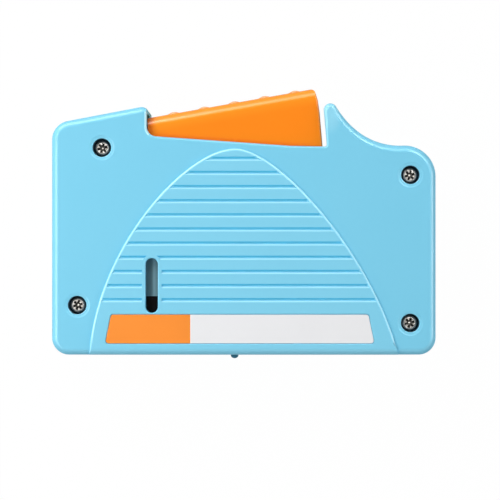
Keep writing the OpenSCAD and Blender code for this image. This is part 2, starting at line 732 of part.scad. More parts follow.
// Return spring: turns round the pin, one leg under the lever and one under the shoulder's roof
module lever_spring() {
    steps = 12;
    coil_r = hinge[1] - lever_line[0][1] + gap + spring_wire / 2;
    low = barrel_top_z + gap + spring_wire / 2;
    leg = 2.4 * coil_r;
    path = concat(
        [[leg, -coil_r, low]],
        [for (k = [0:spring_turns * steps + steps / 2])
            let (p = coil_r * turn(-90 - k * 360 / steps))
            [p[0], p[1], low + spring_pitch * k / steps]],
        [[-leg / 2, coil_r, low + spring_pitch * (spring_turns + 1 / 2)]]
    );
    function tangent(i) = unit(path[min(i + 1, len(path) - 1)] - path[max(i - 1, 0)]);
    rings = [for (i = [0:len(path) - 1])
        let (t = tangent(i), u = unit(cross(t, [0, 0, 1])), v = cross(u, t))
        [for (k = [5:-1:0]) path[i] + spring_wire / 2 * (cos(60 * k) * u + sin(60 * k) * v)]];
    echo(spring_gap = spring_pitch - spring_wire);
    color("silver") from_edge() translate([hinge[0], hinge[1], 0]) skin(rings, 0);
}

// Gears
ratchet_r = hub_r - boss_wall / 2;
ratchet_teeth = 16;
ratchet_d = 1;
module drive_gear() {
    arm_r = ratchet_r - ratchet_d - gap;
    arm_w = ratchet_d + gap / 2;
    arm_sweep = 106;
    arm_hook = 112;
    color("Ivory") from_edge() difference() {
        translate([take_up[0], take_up[1], 0]) {
            translate([0, 0, gear_z]) gear(drive_teeth, drive_phase, gear_t);
            for (start = [0, 180]) plate(concat(
                arc([0, 0], arm_r - arm_w, start, start + arm_hook, curve_steps),
                [(arm_r + gap) * turn(start + arm_hook)],
                reversed(arc([0, 0], arm_r, start, start + arm_sweep, curve_steps))
            ), gear_z + gear_t - gap, reel_z - gap);
            rod([0, 0], spindle_dia / 2 + 1, gear_z, reel_z - gap);
        }
        rod(take_up, spindle_dia / 2 + play, 0, case_d);
    }
}
module idler_gear() {
    color("Ivory") from_edge() difference() {
        translate([idler[0], idler[1], 0]) {
            translate([0, 0, gear_z]) gear(idler_small_teeth, idler_phase, rack_z - gear_z);
            translate([0, 0, rack_z]) gear(idler_large_teeth, -90, rack_t);
        }
        rod(idler, idler_pin_dia / 2 + play, 0, case_d);
    }
}
module idler_pin() {
    color("silver") from_edge() rod(idler, idler_pin_dia / 2, inner_back_z - pin_seat + gap, inner_z);
}
module take_up_spindle() {
    color("silver") from_edge() rod(take_up, spindle_dia / 2, inner_back_z - pin_seat + gap, inner_z);
}

// Reels
module take_up_reel() {
    ratchet = [for (k = [0:ratchet_teeth - 1]) each [
        (ratchet_r - ratchet_d) * turn(k * 360 / ratchet_teeth),
        ratchet_r * turn((k + 1 / 8) * 360 / ratchet_teeth)
    ]];
    color("DimGray") from_edge() difference() {
        union() {
            rod(take_up, hub_r, reel_z, reel_top_z);
            rod(take_up, flange_r, reel_z, reel_z + flange_t);
            rod(take_up, flange_r, reel_top_z - flange_t, reel_top_z);
            difference() {
                rod(take_up, ratchet_r + boss_wall, rack_z, reel_z + flange_t / 2);
                translate([take_up[0], take_up[1], 0]) plate(ratchet, 0, reel_z);
            }
        }
        rod(take_up, spindle_dia / 2 + play, 0, case_d);
        for (k = [0:4]) rod(take_up + (hub_r + flange_r) / 2 * turn(72 * k), (flange_r - hub_r) / 4,
            reel_top_z - flange_t - gap, reel_top_z + over);
    }
}
module take_up_roll() {
    color("LightSlateGray") from_edge() ring(take_up, take_up_r, hub_r + play / 2, tape_z, tape_top_z);
}
module supply_reel() {
    color("DimGray") from_edge() difference() {
        union() {
            rod(supply, hub_r, reel_z, tape_top_z + gap);
            rod(supply, supply_r + gap, reel_z, reel_z + flange_t);
        }
        rod(supply, spindle_dia, 0, case_d);
        for (k = [0:5]) rod(supply + (hub_r + supply_r) / 2 * turn(60 * k), (supply_r - hub_r) / 4,
            0, reel_z + flange_t + gap / 2);
    }
}
module supply_roll() {
    color("LightSlateGray") from_edge() ring(supply, supply_r, hub_r + play / 2, tape_z, tape_top_z);
}
module brake_washer() {
    color("Gray") from_edge() ring(supply, hub_r - boss_wall, spindle_dia + play, reel_z - pane_t - gap,
        reel_z - tape_gap);
}

// A leaf that clicks over the take-up reel's flange and keeps it from turning back
click_at = take_up + (drive_r + tooth_tip + post_r + 2 * gap) * turn(-20);
module click_post() rod(click_at, post_r, inner_back_z - wall / 2, reel_z - gap);
module click_spring() {
    leaf = 0.5;
    tip = take_up + (flange_r + 2 * gap) * turn(4);
    heel = click_at - [post_r / 2, 0];
    along = unit(tip - heel);
    side = [along[1], -along[0]];
    color("silver") from_edge() union() {
        plate([heel, heel + leaf * side, tip + leaf * side, tip], reel_z, reel_z + 2 * flange_t);
        rod(click_at, post_r, reel_z - gap, reel_z + flange_t);
    }
}

// Tape guides
module roller(at) {
    color("Ivory") from_edge() difference() {
        rod(at, roller_r, tape_z - tape_gap, tape_top_z + tape_gap);
        rod(at, roller_pin_dia / 2 + play, 0, case_d);
    }
}
module guide_roller_left() roller(roller_left);
module guide_roller_right() roller(roller_right);
module roller_pins() {
    color("silver") from_edge() for (at = [roller_left, roller_right])
        rod(at, roller_pin_dia / 2, cheek_z, cheek_top_z);
}
function tape_path(off) =
    let (
        feed = heading(supply, roller_left)
            + asin((supply_r - roller_r) / norm(roller_left - supply)),
        wind = heading(roller_right, take_up)
            + asin((roller_r - take_up_r) / norm(take_up - roller_right)),
        bend_r = roller_r + tape_gap + off
    )
    concat(
        [supply + (supply_r + tape_gap + off) * turn(feed - 90)],
        arc(roller_left, bend_r, feed - 90, -90, corner_steps),
        arc(roller_right, bend_r, -90, wind - 90, corner_steps),
        [take_up + (take_up_r + tape_gap + off) * turn(wind - 90)]
    );
module tape_span() {
    color("LightSlateGray") from_edge()
        plate(concat(tape_path(tape_t), reversed(tape_path(0))), tape_z, tape_top_z);
}

// The head holds the pad over the window, between two cheeks on the shells' posts
module cheek(z) {
    left = head_posts[0][0] - post_r - cheek_t;
    right = roller_right[0] + post_r + cheek_t;
    top = head_posts[1][1] + post_r + cheek_t;
    difference() {
        plate(rounded([
            [left, head_y, cheek_t],
            [right, head_y, cheek_t],
            [right, roller_right[1] + post_r + cheek_t, post_r],
            [head_posts[1][0] + 2 * post_r, top, post_r],
            [head_posts[1][0] - 2 * post_r, top, post_r],
            [left, head_posts[0][1] + post_r + cheek_t, post_r]
        ]), z, z + cheek_t);
        rod(roller_right, roller_pin_dia / 2 + seat_play, 0, case_d);
        for (at = head_posts) rod(at, peg_r + seat_play, 0, mid_z);
    }
}
module head_frame() {
    left = head_posts[0][0] - post_r - cheek_t;
    throat = [window_w, head_t + 2 * over, window_d];
    bar = [window_w + 2 * wall, wall, cheek_top_z - cheek_z];
    color("DarkSlateGray") from_edge() union() {
        cheek(cheek_z);
        cheek(cheek_top_z - cheek_t);
        difference() {
            translate([left + cheek_t, head_y, cheek_z])
                cube([roller_right[0] - left, head_t, cheek_top_z - cheek_z]);
            translate([window_x - window_w / 2, head_y - over, window_low_z]) cube(throat);
        }
        translate([window_x - bar[0] / 2, pad_y + pad_t, cheek_z]) cube(bar);
    }
}
module wipe_pad() {
    size = [window_w + wall, pad_t, tape_w];
    color("DimGray") from_edge() translate([window_x - size[0] / 2, pad_y, tape_z]) cube(size);
}

// Shutter with its thumb ridge and its rack
module shutter() {
    left = window_x - shutter_travel - ridge_w - 2 * gap - over;
    right = window_x + window_w / 2 + 1.5;
    low_z = rack_z;
    high_z = reel_top_z;
    pitch = PI * tooth_module;
    rack_left = idler[0] - 1.5 * pitch;
    rack_right = idler[0] + shutter_travel + 1.5 * pitch;
    half_root = pitch / 4 + tooth_root * tan(pressure) - tooth_play / 4;
    half_tip = pitch / 4 - tooth_tip * tan(pressure) - tooth_play / 4;
    teeth = floor((rack_right - rack_left) / pitch);
    color("SkyBlue") from_edge() union() {
        translate([left, shutter_y, low_z]) cube([right - left, shutter_t, high_z - low_z]);
        plate(concat(
            [[rack_right, rack_y - tooth_root], [right - over, rack_y - tooth_root]],
            [[right - over, shutter_y], [rack_right, shutter_y]]
        ), rack_z, rack_z + rack_t);
        for (k = [0:teeth - 1]) let (x = idler[0] + (k - 3 / 2 + 1) * pitch)
            plate([
                [x + half_root, rack_y - tooth_root - tape_gap],
                [x + half_tip, rack_y + tooth_tip],
                [x - half_tip, rack_y + tooth_tip],
                [x - half_root, rack_y - tooth_root - tape_gap]
            ], rack_z, rack_z + rack_t);
        ridge();
    }
}
module ridge() {
    inner = window_d - 2 * gap;
    half = ridge_w / 2;
    translate([window_x, 0, tape_mid_z - inner / 2]) linear_extrude(inner) polygon(concat(
        [[half, shutter_y + gap], [-half, shutter_y + gap]],
        arc([0, half - ridge_h], half, 180, 360, 2 * corner_steps)
    ));
}

front_shell();
rear_shell();
case_screws();
label();
sight_window();
lever();
lever_pin();
lever_spring();
drive_gear();
idler_gear();
idler_pin();
take_up_spindle();
take_up_reel();
take_up_roll();
click_spring();
supply_reel();
supply_roll();
brake_washer();
guide_roller_left();
guide_roller_right();
roller_pins();
tape_span();
head_frame();
wipe_pad();
shutter();
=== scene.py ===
"""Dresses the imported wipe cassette: shells, lever, screws, label, tape, finishes, light and camera.

Sizes are in millimetres, measured from the middle of the window edge, and become metres in the
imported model's frame when a mesh is made.
"""

import logging
import math
from collections.abc import Callable, Sequence
from dataclasses import dataclass
from enum import Enum

import bmesh
import bpy
from mathutils import Matrix, Vector


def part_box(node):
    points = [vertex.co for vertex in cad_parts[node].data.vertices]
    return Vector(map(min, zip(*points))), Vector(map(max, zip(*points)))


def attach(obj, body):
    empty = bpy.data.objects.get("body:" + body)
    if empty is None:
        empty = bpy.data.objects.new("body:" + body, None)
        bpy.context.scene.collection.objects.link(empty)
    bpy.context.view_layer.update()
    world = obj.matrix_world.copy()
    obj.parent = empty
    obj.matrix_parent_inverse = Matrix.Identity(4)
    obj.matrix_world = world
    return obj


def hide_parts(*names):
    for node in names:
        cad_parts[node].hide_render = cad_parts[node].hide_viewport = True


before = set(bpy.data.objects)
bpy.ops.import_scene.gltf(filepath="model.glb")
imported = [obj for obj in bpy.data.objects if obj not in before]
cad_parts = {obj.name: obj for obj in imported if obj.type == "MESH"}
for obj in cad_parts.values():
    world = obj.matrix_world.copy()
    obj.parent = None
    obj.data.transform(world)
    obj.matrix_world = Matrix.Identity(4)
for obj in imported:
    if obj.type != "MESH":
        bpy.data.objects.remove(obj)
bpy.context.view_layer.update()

MM = 0.001
EDGE_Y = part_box("front_shell")[0].y
OVER = 1.0
WHITE = (1, 1, 1, 1)

# The face marks' name, and their two ends: painted shade in a cut and a painted highlight on an edge
PAINTED_LIGHT_MARK = "deep"
FULL_PAINTED_SHADE, FULL_PAINTED_HIGHLIGHT = 1.0, -1.0

# Axes of the two tape rolls, as shares of half the case's width and of its height
SUPPLY_AXIS = (-0.478, 0.518)
TAKE_UP_AXIS = (0.554, 0.424)

# How far the shutter's thumb ridge stands out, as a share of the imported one
RIDGE_SHARE = 0.77

# Largest share of a side that a rounded corner takes, and how squarely the lever's ribs end
CORNER_SHARE = 0.9
RIB_SQUARENESS = 8.0

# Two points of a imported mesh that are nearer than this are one
WELD = 0.002

Pair = tuple[float, float]
Pairs = tuple[Pair, ...]
Triple = tuple[float, float, float]
Values = tuple[float, ...]
Colour = Triple
Places = list[Vector]
Piece = bpy.types.Object
Material = bpy.types.Material

# A soft step: the values where it starts and ends, and its levels there
Ramp = tuple[float, float, float, float]

log = logging.getLogger("cassette")


# Outlines, as lists of flat points, or of points whose third value is the radius of their rim


def turn(angle: float) -> Vector:
    """Unit vector at an angle in degrees."""
    return Vector((math.cos(math.radians(angle)), math.sin(math.radians(angle))))


def heading(start: Vector, end: Vector) -> float:
    """Direction from one point to another, in degrees."""
    return math.degrees(math.atan2(end.y - start.y, end.x - start.x))


def steepness(angle: float) -> float:
    """Rise per length of a line at an angle in degrees."""
    return math.tan(math.radians(angle))


def flat(point: Sequence[float]) -> Vector:
    """The first two values of a point."""
    return Vector((point[0], point[1]))


def bezier(points: Sequence[Vector], t: float) -> Vector:
    """Point on a cubic curve.

    Args:
        points: The curve's four control points.
        t: Share of the way along, from 0 to 1.
    """
    weights = ((1 - t) ** 3, 3 * (1 - t) ** 2 * t, 3 * (1 - t) * t * t, t**3)
    return sum((w * p for w, p in zip(weights, points)), Vector((0, 0)))


def arc(middle: Vector, radius: float, start: float, end: float, steps: int) -> Places:
    """Points on an arc, both ends included.

    Args:
        middle: Centre of the arc.
        radius: Its radius.
        start: Angle of the first point in degrees.
        end: Angle of the last point in degrees.
        steps: Number of chords.
    """
    return [middle + radius * turn(start + (end - start) * k / steps) for k in range(steps + 1)]


def corner(before: Vector, here: Vector, after: Vector, radius: float, steps: int) -> Places:
    """A corner as an arc, or as one point where the radius is zero.

    Args:
        before: The point before the corner.
        here: The corner.
        after: The point after it.
        radius: Radius of the arc.
        steps: Number of chords.

    Returns:
        The corner's points.
    """
    if radius == 0:
        return [here]
    u, v = (before - here).normalized(), (after - here).normalized()
    half = math.acos(max(-1.0, min(1.0, u.dot(v)))) / 2
    longest = CORNER_SHARE * min((before - here).length, (after - here).length)
    reach = min(radius / math.tan(half), longest)
    radius = reach * math.tan(half)
    middle = here + (u + v).normalized() * radius / math.sin(half)
    start = heading(middle, here + u * reach)
    sweep = (heading(middle, here + v * reach) - start + 180) % 360 - 180
    return arc(middle, radius, start, start + sweep, steps)


def rounded(points: Sequence[Sequence[float]], steps: int) -> Places:
    """Closed outline with rounded corners.

    Args:
        points: Corners as x, y and radius, and the radius of their rim where they have one.
        steps: Number of chords in a corner.

    Returns:
        The outline's points.
    """
    n = len(points)
    outline: Places = []
    for i, point in enumerate(points):
        before, after = flat(points[i - 1]), flat(points[(i + 1) % n])
        bend = corner(before, flat(point), after, point[2], steps)
        outline += with_rim(bend, point[3]) if len(point) > 3 else bend
    return outline


def outward(points: Places) -> Places:
    """Outward direction at each point of a counter-clockwise outline.

    Args:
        points: The outline.

    Returns:
        A unit vector for each point.
    """
    n = len(points)
    steps = [flat(points[(i + 1) % n]) - flat(points[i - 1]) for i in range(n)]
    return [Vector((d.y, -d.x)).normalized() for d in steps]


def inset(points: Places, amount: float) -> Places:
    """The outline moved inwards, or outwards where the amount is negative."""
    return [p - amount * n for p, n in zip(points, outward(points))]


def with_rim(points: Places, radius: float) -> Places:
    """The outline's points with a rim radius as their third value."""
    return [Vector((p.x, p.y, radius)) for p in points]


def level(points: Places, z: float) -> Places:
    """The outline's points at one height."""
    return [Vector((p.x, p.y, z)) for p in points]


def leaned(points: Places, past: float, lean: float) -> Places:
    """The points, moved along by a lean where they lie past a place."""
    return [p + Vector((lean, *([0] * (len(p) - 1)))) if p.x > past else p for p in points]


def rim_ring(rim: Places, z: float, way: int, out: int, angle: float) -> Places:
    """One ring of a rounded rim.

    Args:
        rim: Outline points with their rim radii.
        z: Height of the flat that the rim meets.
        way: 1 for an upper rim, -1 for a lower one.
        out: 1 where the rim draws in, -1 where it flares.
        angle: Degrees round the rim, 0 at the wall and 90 at the flat.

    Returns:
        The ring's points.
    """
    c, s = turn(angle)
    ring: Places = []
    for point, side in zip(rim, outward(rim)):
        moved = flat(point) - out * point.z * (1 - c) * side
        ring.append(Vector((moved.x, moved.y, z - way * point.z * (1 - s))))
    return ring


def rim_rings(rim: Places, z: float, way: int, out: int, steps: int) -> list[Places]:
    """All rings of a rounded rim, from the lowest up."""
    rings = [rim_ring(rim, z, way, out, 90 * k / steps) for k in range(steps + 1)]
    return rings if way > 0 else rings[::-1]


# Solids


class Way(Enum):
    """How a tool solid acts on a piece."""

    TAKE = "DIFFERENCE"
    ADD = "UNION"
    KEEP = "INTERSECT"


def link(name: str, data: bpy.types.ID) -> Piece:
    """Puts a mesh, lamp or camera into the scene as an object at the origin.

    Args:
        name: Name of the object.
        data: The mesh, lamp or camera.

    Returns:
        The new object.
    """
    piece = bpy.data.objects.new(name, data)
    bpy.context.scene.collection.objects.link(piece)
    return piece


def discard(piece: Piece) -> None:
    """Removes an object and its mesh.

    Args:
        piece: The object.
    """
    mesh = piece.data
    bpy.data.objects.remove(piece)
    bpy.data.meshes.remove(mesh)


def settle(piece: Piece) -> None:
    """Turns what a piece's modifiers make into its plain mesh.

    Args:
        piece: The piece, which loses its modifiers.
    """
    bpy.context.view_layer.update()
    graph = bpy.context.evaluated_depsgraph_get()
    mesh = bpy.data.meshes.new_from_object(piece.evaluated_get(graph), depsgraph=graph)
    old = piece.data
    piece.modifiers.clear()
    piece.data = mesh
    bpy.data.meshes.remove(old)
    mesh.name = piece.name


def combine(piece: Piece, tool: Piece, way: Way) -> None:
    """Cuts or joins a piece with a tool solid, and removes the tool.

    Args:
        piece: The piece that is changed.
        tool: The solid that cuts it or joins it.
        way: How the tool acts.
    """
    change = piece.modifiers.new("combine", "BOOLEAN")
    change.operation = way.value
    change.solver = "MANIFOLD"
    change.object = tool
    settle(piece)
    discard(tool)


def loft(name: str, rings: Sequence[Places]) -> Piece:
    """A closed solid over rings of equal length, from the lowest to the highest.

    Args:
        name: Name of the object.
        rings: Rings of points in millimetres, counter-clockwise from above.

    Returns:
        The new object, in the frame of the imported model.
    """
    n, top = len(rings[0]), len(rings) - 1
    points = [(p.x * MM, p.y * MM + EDGE_Y, p.z * MM) for ring in rings for p in ring]
    faces = [
        (k * n + i, k * n + (i + 1) % n, (k + 1) * n + (i + 1) % n, (k + 1) * n + i)
        for k in range(top)
        for i in range(n)
    ]
    faces += [tuple(reversed(range(n))), tuple(range(top * n, (top + 1) * n))]
    mesh = bpy.data.meshes.new(name)
    mesh.from_pydata(points, [], faces)
    return link(name, mesh)


def prism(name: str, outline: Places, low: float, high: float) -> Piece:
    """An upright solid over an outline."""
    return loft(name, [level(outline, low), level(outline, high)])


def turned(name: str, at: Vector, profile: Sequence[Pair], steps: int) -> Piece:
    """A solid of revolution about an upright axis.

    Args:
        name: Name of the object.
        at: Place of the axis.
        profile: Radius and height of each ring, from the lowest to the highest.
        steps: Number of sides.

    Returns:
        The new object.
    """
    rings = [
        level([at + radius * turn(360 * k / steps) for k in range(steps)], z)
        for radius, z in profile
    ]
    return loft(name, rings)


def block(name: str, low: Sequence[float], high: Sequence[float]) -> Piece:
    """A box between two corners.

    Args:
        name: Name of the object.
        low: Its lowest corner.
        high: Its highest corner.

    Returns:
        The new object.
    """
    (left, near, bottom), (right, far, top) = low, high
    base = [Vector(p) for p in ((left, near), (right, near), (right, far), (left, far))]
    return prism(name, base, bottom, top)


def mark(piece: Piece, shares: Sequence[float], top: float = 0.0) -> Piece:
    """Gives each face of a tool its share of painted shade or painted highlight, which its cuts keep.

    Args:
        piece: A loft, with its side faces first and its two ends last.
        shares: A share for each side face: up to 1 for painted shade, down to -1 for a painted
            highlight.
        top: The upper end's share. The lower end gets none.

    Returns:
        The same tool.
    """
    layer = piece.data.attributes.new(PAINTED_LIGHT_MARK, "FLOAT", "FACE")
    layer.data.foreach_set("value", [*shares, 0.0, top])
    return piece


def merged_copy(node: str) -> Piece:
    """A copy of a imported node's mesh with its loose triangles joined.

    Args:
        node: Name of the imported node.

    Returns:
        The copy, as a new object.
    """
    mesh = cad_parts[node].data.copy()
    joined = bmesh.new()
    joined.from_mesh(mesh)
    bmesh.ops.remove_doubles(joined, verts=joined.verts, dist=WELD * MM)
    joined.to_mesh(mesh)
    joined.free()
    normals = mesh.attributes.get("custom_normal")
    if normals is not None:
        mesh.attributes.remove(normals)
    return link("copy_of_" + node, mesh)


def shade(piece: Piece, material: Material, angle: float = 32) -> None:
    """Gives a piece its material and smooth shading with crisp edges.

    Args:
        piece: The finished solid.
        material: The only material it keeps.
        angle: Edges that turn by more degrees than this stay crisp.
    """
    mesh = piece.data
    mesh.materials.clear()
    mesh.materials.append(material)
    mesh.polygons.foreach_set("material_index", [0] * len(mesh.polygons))
    mesh.shade_smooth()
    mesh.set_sharp_from_angle(angle=math.radians(angle))
    even = piece.modifiers.new("even", "WEIGHTED_NORMAL")
    even.keep_sharp = True
    settle(piece)


def fit(piece: Piece, body: str, slot: str, *nodes: str) -> None:
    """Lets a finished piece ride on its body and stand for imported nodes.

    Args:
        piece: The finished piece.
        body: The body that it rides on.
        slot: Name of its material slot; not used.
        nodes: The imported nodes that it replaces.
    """
    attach(piece, body)
    if nodes:
        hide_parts(*nodes)
    log.info("%s: %d faces on %s", piece.name, len(piece.data.polygons), body)


# Node trees


def operator(operation: str, swapped: bool = False) -> Callable[..., "Wire"]:
    """A method that puts a wire through a Math node.

    Args:
        operation: The node's operation.
        swapped: Whether the wire is the second value.

    Returns:
        The method.
    """

    def method(self: "Wire", *others: "Wire | float") -> "Wire":
        """Adds the node and returns its output."""
        values = (*others, self) if swapped else (self, *others)
        return self.tree.maths(operation, *values)

    return method


@dataclass(frozen=True)
class Wire:
    """A node's output that takes part in sums, products and comparisons."""

    tree: "Tree"
    socket: bpy.types.NodeSocket

    __add__ = __radd__ = operator("ADD")
    __sub__ = operator("SUBTRACT")
    __rsub__ = operator("SUBTRACT", swapped=True)
    __mul__ = operator("MULTIPLY")
    __truediv__ = operator("DIVIDE")
    __gt__ = operator("GREATER_THAN")
    __lt__ = operator("LESS_THAN")
    __abs__ = operator("ABSOLUTE")


class Tree:
    """Builds a shader or geometry node tree."""

    def __init__(self, nodes: bpy.types.NodeTree) -> None:
        """Starts from an empty tree."""
        self.nodes = nodes
        nodes.nodes.clear()

    def node(self, kind: str, inputs: dict | None = None, **settings: object) -> bpy.types.Node:
        """Adds a node.

        Args:
            kind: The node's type.
            inputs: Values or wires of its sockets, by name or number.
            settings: The node's own settings, and a ramp's stops.

        Returns:
            The new node.
        """
        made = self.nodes.nodes.new(kind)
        for name, value in settings.items():
            if name == "stops":
                self.fill_ramp(made.color_ramp, value)
            else:
                setattr(made, name, value)
        for key, value in (inputs or {}).items():
            if isinstance(value, Wire):
                self.nodes.links.new(value.socket, made.inputs[key])
            else:
                made.inputs[key].default_value = value
        return made

    @staticmethod
    def fill_ramp(ramp: bpy.types.ColorRamp, stops: Sequence[tuple[float, Colour]]) -> None:
        """Gives a colour ramp its stops.

        Args:
            ramp: The ramp of a Color Ramp node.
            stops: Place and colour of each stop.
        """
        while len(ramp.elements) < len(stops):
            ramp.elements.new(1)
        for element, (place, colour) in zip(ramp.elements, stops):
            element.position, element.color = place, (*colour, 1)

    def wire(
        self, kind: str, output: str | int, inputs: dict | None = None, **settings: object
    ) -> Wire:
        """Adds a node and returns one of its outputs."""
        return Wire(self, self.node(kind, inputs, **settings).outputs[output])

    def maths(self, operation: str, *values: Wire | float) -> Wire:
        """Adds a Math node on one to three values."""
        return self.wire("ShaderNodeMath", 0, dict(enumerate(values)), operation=operation)

    def ramp(self, value: Wire, start: float, end: float, low: float, high: float) -> Wire:
        """A soft step from one level to another, as a value runs from a start to an end."""
        inputs = {0: value, 1: start, 2: end, 3: low, 4: high}
        return self.wire("ShaderNodeMapRange", 0, inputs, interpolation_type="SMOOTHSTEP")

    def mixed(self, share: Wire | float, first: Wire | Colour, second: Wire | Colour) -> Wire:
        """Mixes two colours, the first where the share is 0.

        Args:
            share: Share of the second colour.
            first: The colour where the share is 0.
            second: The colour where the share is 1.

        Returns:
            The mixed colour.
        """
        inputs = {0: share}
        for key, value in ((6, first), (7, second)):
            inputs[key] = value if isinstance(value, Wire) else (*value, 1)
        return self.wire("ShaderNodeMix", 2, inputs, data_type="RGBA")

    def ray(self, kind: str) -> Wire:
        """1 for light rays of a kind, such as Camera or Glossy, and 0 for others."""
        return self.wire("ShaderNodeLightPath", f"Is {kind} Ray")


class Shader(Tree):
    """Builds a material on one Principled shader."""

    def __init__(self, name: str) -> None:
        """Starts a new material with an empty tree.

        Args:
            name: Name of the material.
        """
        self.material = bpy.data.materials.new(name)
        self.material.use_nodes = True
        super().__init__(self.material.node_tree)
        self.place = self.wire("ShaderNodeTexCoord", "Object")

    def axes(self, shift: Sequence[float] = (0, 0, 0)) -> list[Wire]:
        """The three coordinates in millimetres from the window edge, less a shift.

        Args:
            shift: The place that becomes the origin.

        Returns:
            The wires of x, y and z.
        """
        at = (shift[0] * MM, shift[1] * MM + EDGE_Y, shift[2] * MM)
        moved = self.wire("ShaderNodeVectorMath", 0, {0: self.place, 1: at}, operation="SUBTRACT")
        scale = {0: moved, "Scale": 1 / MM}
        scaled = self.wire("ShaderNodeVectorMath", 0, scale, operation="SCALE")
        parts = self.node("ShaderNodeSeparateXYZ", {0: scaled})
        return [Wire(self, output) for output in parts.outputs]

    @property
    def deep(self) -> Wire:
        """Share of painted shade, or of a painted highlight where it is below 0, from the marks on
        cut faces.
        """
        return self.wire("ShaderNodeAttribute", "Fac", attribute_name=PAINTED_LIGHT_MARK)

    def noise(self, grain: float, detail: float) -> Wire:
        """Soft noise from 0 to 1, with its grain in millimetres."""
        inputs = {"Vector": self.place, "Scale": 1 / (grain * MM), "Detail": detail}
        return self.wire("ShaderNodeTexNoise", "Fac", inputs)

    def bump(self, height: Wire, strength: float, depth: float) -> Wire:
        """A bumped normal, its depth in millimetres."""
        inputs = {"Height": height, "Strength": strength, "Distance": depth * MM}
        return self.wire("ShaderNodeBump", 0, inputs)

    def surface(self, inputs: dict) -> Material:
        """Ends the tree in a Principled shader and returns the material.

        Args:
            inputs: Values or wires of the shader's sockets.

        Returns:
            The material.
        """
        shader = self.wire("ShaderNodeBsdfPrincipled", 0, inputs)
        self.node("ShaderNodeOutputMaterial", {0: shader})
        return self.material


class Pattern(Tree):
    """Builds a geometry tree with named inputs."""

    def __init__(self, name: str, inputs: dict[str, str]) -> None:
        """Starts the tree.

        Args:
            name: Name of the tree.
            inputs: The kind of each named input between the base and the material.
        """
        tree = bpy.data.node_groups.new(name, "GeometryNodeTree")
        super().__init__(tree)
        self.keys = {}
        for label, kind in {"Base": "Geometry", **inputs, "Material": "Material"}.items():
            socket = tree.interface.new_socket(
                label, in_out="INPUT", socket_type="NodeSocket" + kind
            )
            self.keys[label] = socket.identifier
        tree.interface.new_socket("Result", in_out="OUTPUT", socket_type="NodeSocketGeometry")
        start = self.node("NodeGroupInput")
        self.inputs = {label: Wire(self, start.outputs[label]) for label in self.keys}

    def piece(self) -> Wire:
        """The geometry of the object that the Piece input names."""
        return self.wire("GeometryNodeObjectInfo", "Geometry", {"Object": self.inputs["Piece"]})

    def line(self) -> Wire:
        """A row of points, as the Count and Step inputs say."""
        inputs = {"Count": self.inputs["Count"], "Offset": self.inputs["Step"]}
        return self.wire("GeometryNodeMeshLine", 0, inputs, mode="OFFSET")

    def end(self, points: Wire, piece: Wire, **more: Wire) -> None:
        """Sets a piece on each point, gives it the material and closes the tree.

        Args:
            points: The places.
            piece: What is set there.
            more: Other inputs of the instances, such as their rotation.
        """
        seats = {"Points": points, "Instance": piece, **more}
        set_down = self.wire("GeometryNodeInstanceOnPoints", 0, seats)
        real = self.wire("GeometryNodeRealizeInstances", 0, {0: set_down})
        inputs = {"Geometry": real, "Material": self.inputs["Material"]}
        self.node("NodeGroupOutput", {0: self.wire("GeometryNodeSetMaterial", 0, inputs)})

    def grow(self, name: str, places: Places, **values: object) -> Piece:
        """Runs the tree on a mesh of loose points and keeps the result as a plain mesh.

        Args:
            name: Name of the new object.
            places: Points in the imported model's frame, in metres.
            values: Values of the tree's inputs, by name with _ for a space.

        Returns:
            The new object.
        """
        mesh = bpy.data.meshes.new(name)
        mesh.from_pydata([tuple(p) for p in places], [], [])
        piece = link(name, mesh)
        step = piece.modifiers.new("grow", "NODES")
        step.node_group = self.nodes
        for label, value in values.items():
            step[self.keys[label.replace("_", " ")]] = value
        settle(piece)
        return piece


def row_pattern() -> Pattern:
    """A tree that repeats a piece along a line.

    Returns:
        The tree, ready to grow pieces.
    """
    tree = Pattern("row", {"Piece": "Object", "Count": "Int", "Step": "Vector"})
    tree.end(tree.line(), tree.piece())
    return tree


def seat_pattern() -> Pattern:
    """A tree that sets a piece on each point of the base.

    Returns:
        The tree, ready to grow pieces.
    """
    tree = Pattern("seats", {"Piece": "Object"})
    tree.end(tree.inputs["Base"], tree.piece())
    return tree


def wound_pattern() -> Pattern:
    """A tree that winds a flat tape into a roll about each point of the base.

    Returns:
        The tree, ready to grow pieces.
    """
    sizes = ("Inner Radius", "Outer Radius", "Turns", "Width", "Thickness")
    tree = Pattern("wound", dict.fromkeys(sizes, "Float"))
    given = tree.inputs
    spiral = {
        "Resolution": 72,
        "Rotations": given["Turns"],
        "Start Radius": given["Inner Radius"],
        "End Radius": given["Outer Radius"],
        "Height": 0.0,
    }
    path = tree.wire("GeometryNodeCurveSpiral", 0, spiral)
    upright = tree.wire("GeometryNodeSetCurveNormal", 0, {"Curve": path}, mode="Z_UP")
    section = {"Width": given["Thickness"], "Height": given["Width"]}
    profile = tree.wire("GeometryNodeCurvePrimitiveQuadrilateral", 0, section, mode="RECTANGLE")
    swept = {"Curve": upright, "Profile Curve": profile, "Fill Caps": True}
    roll = tree.wire("GeometryNodeCurveToMesh", 0, swept)
    flat_roll = tree.wire(
        "GeometryNodeSetShadeSmooth", 0, {"Geometry": roll, "Shade Smooth": False}
    )
    tree.end(given["Base"], flat_roll)
    return tree


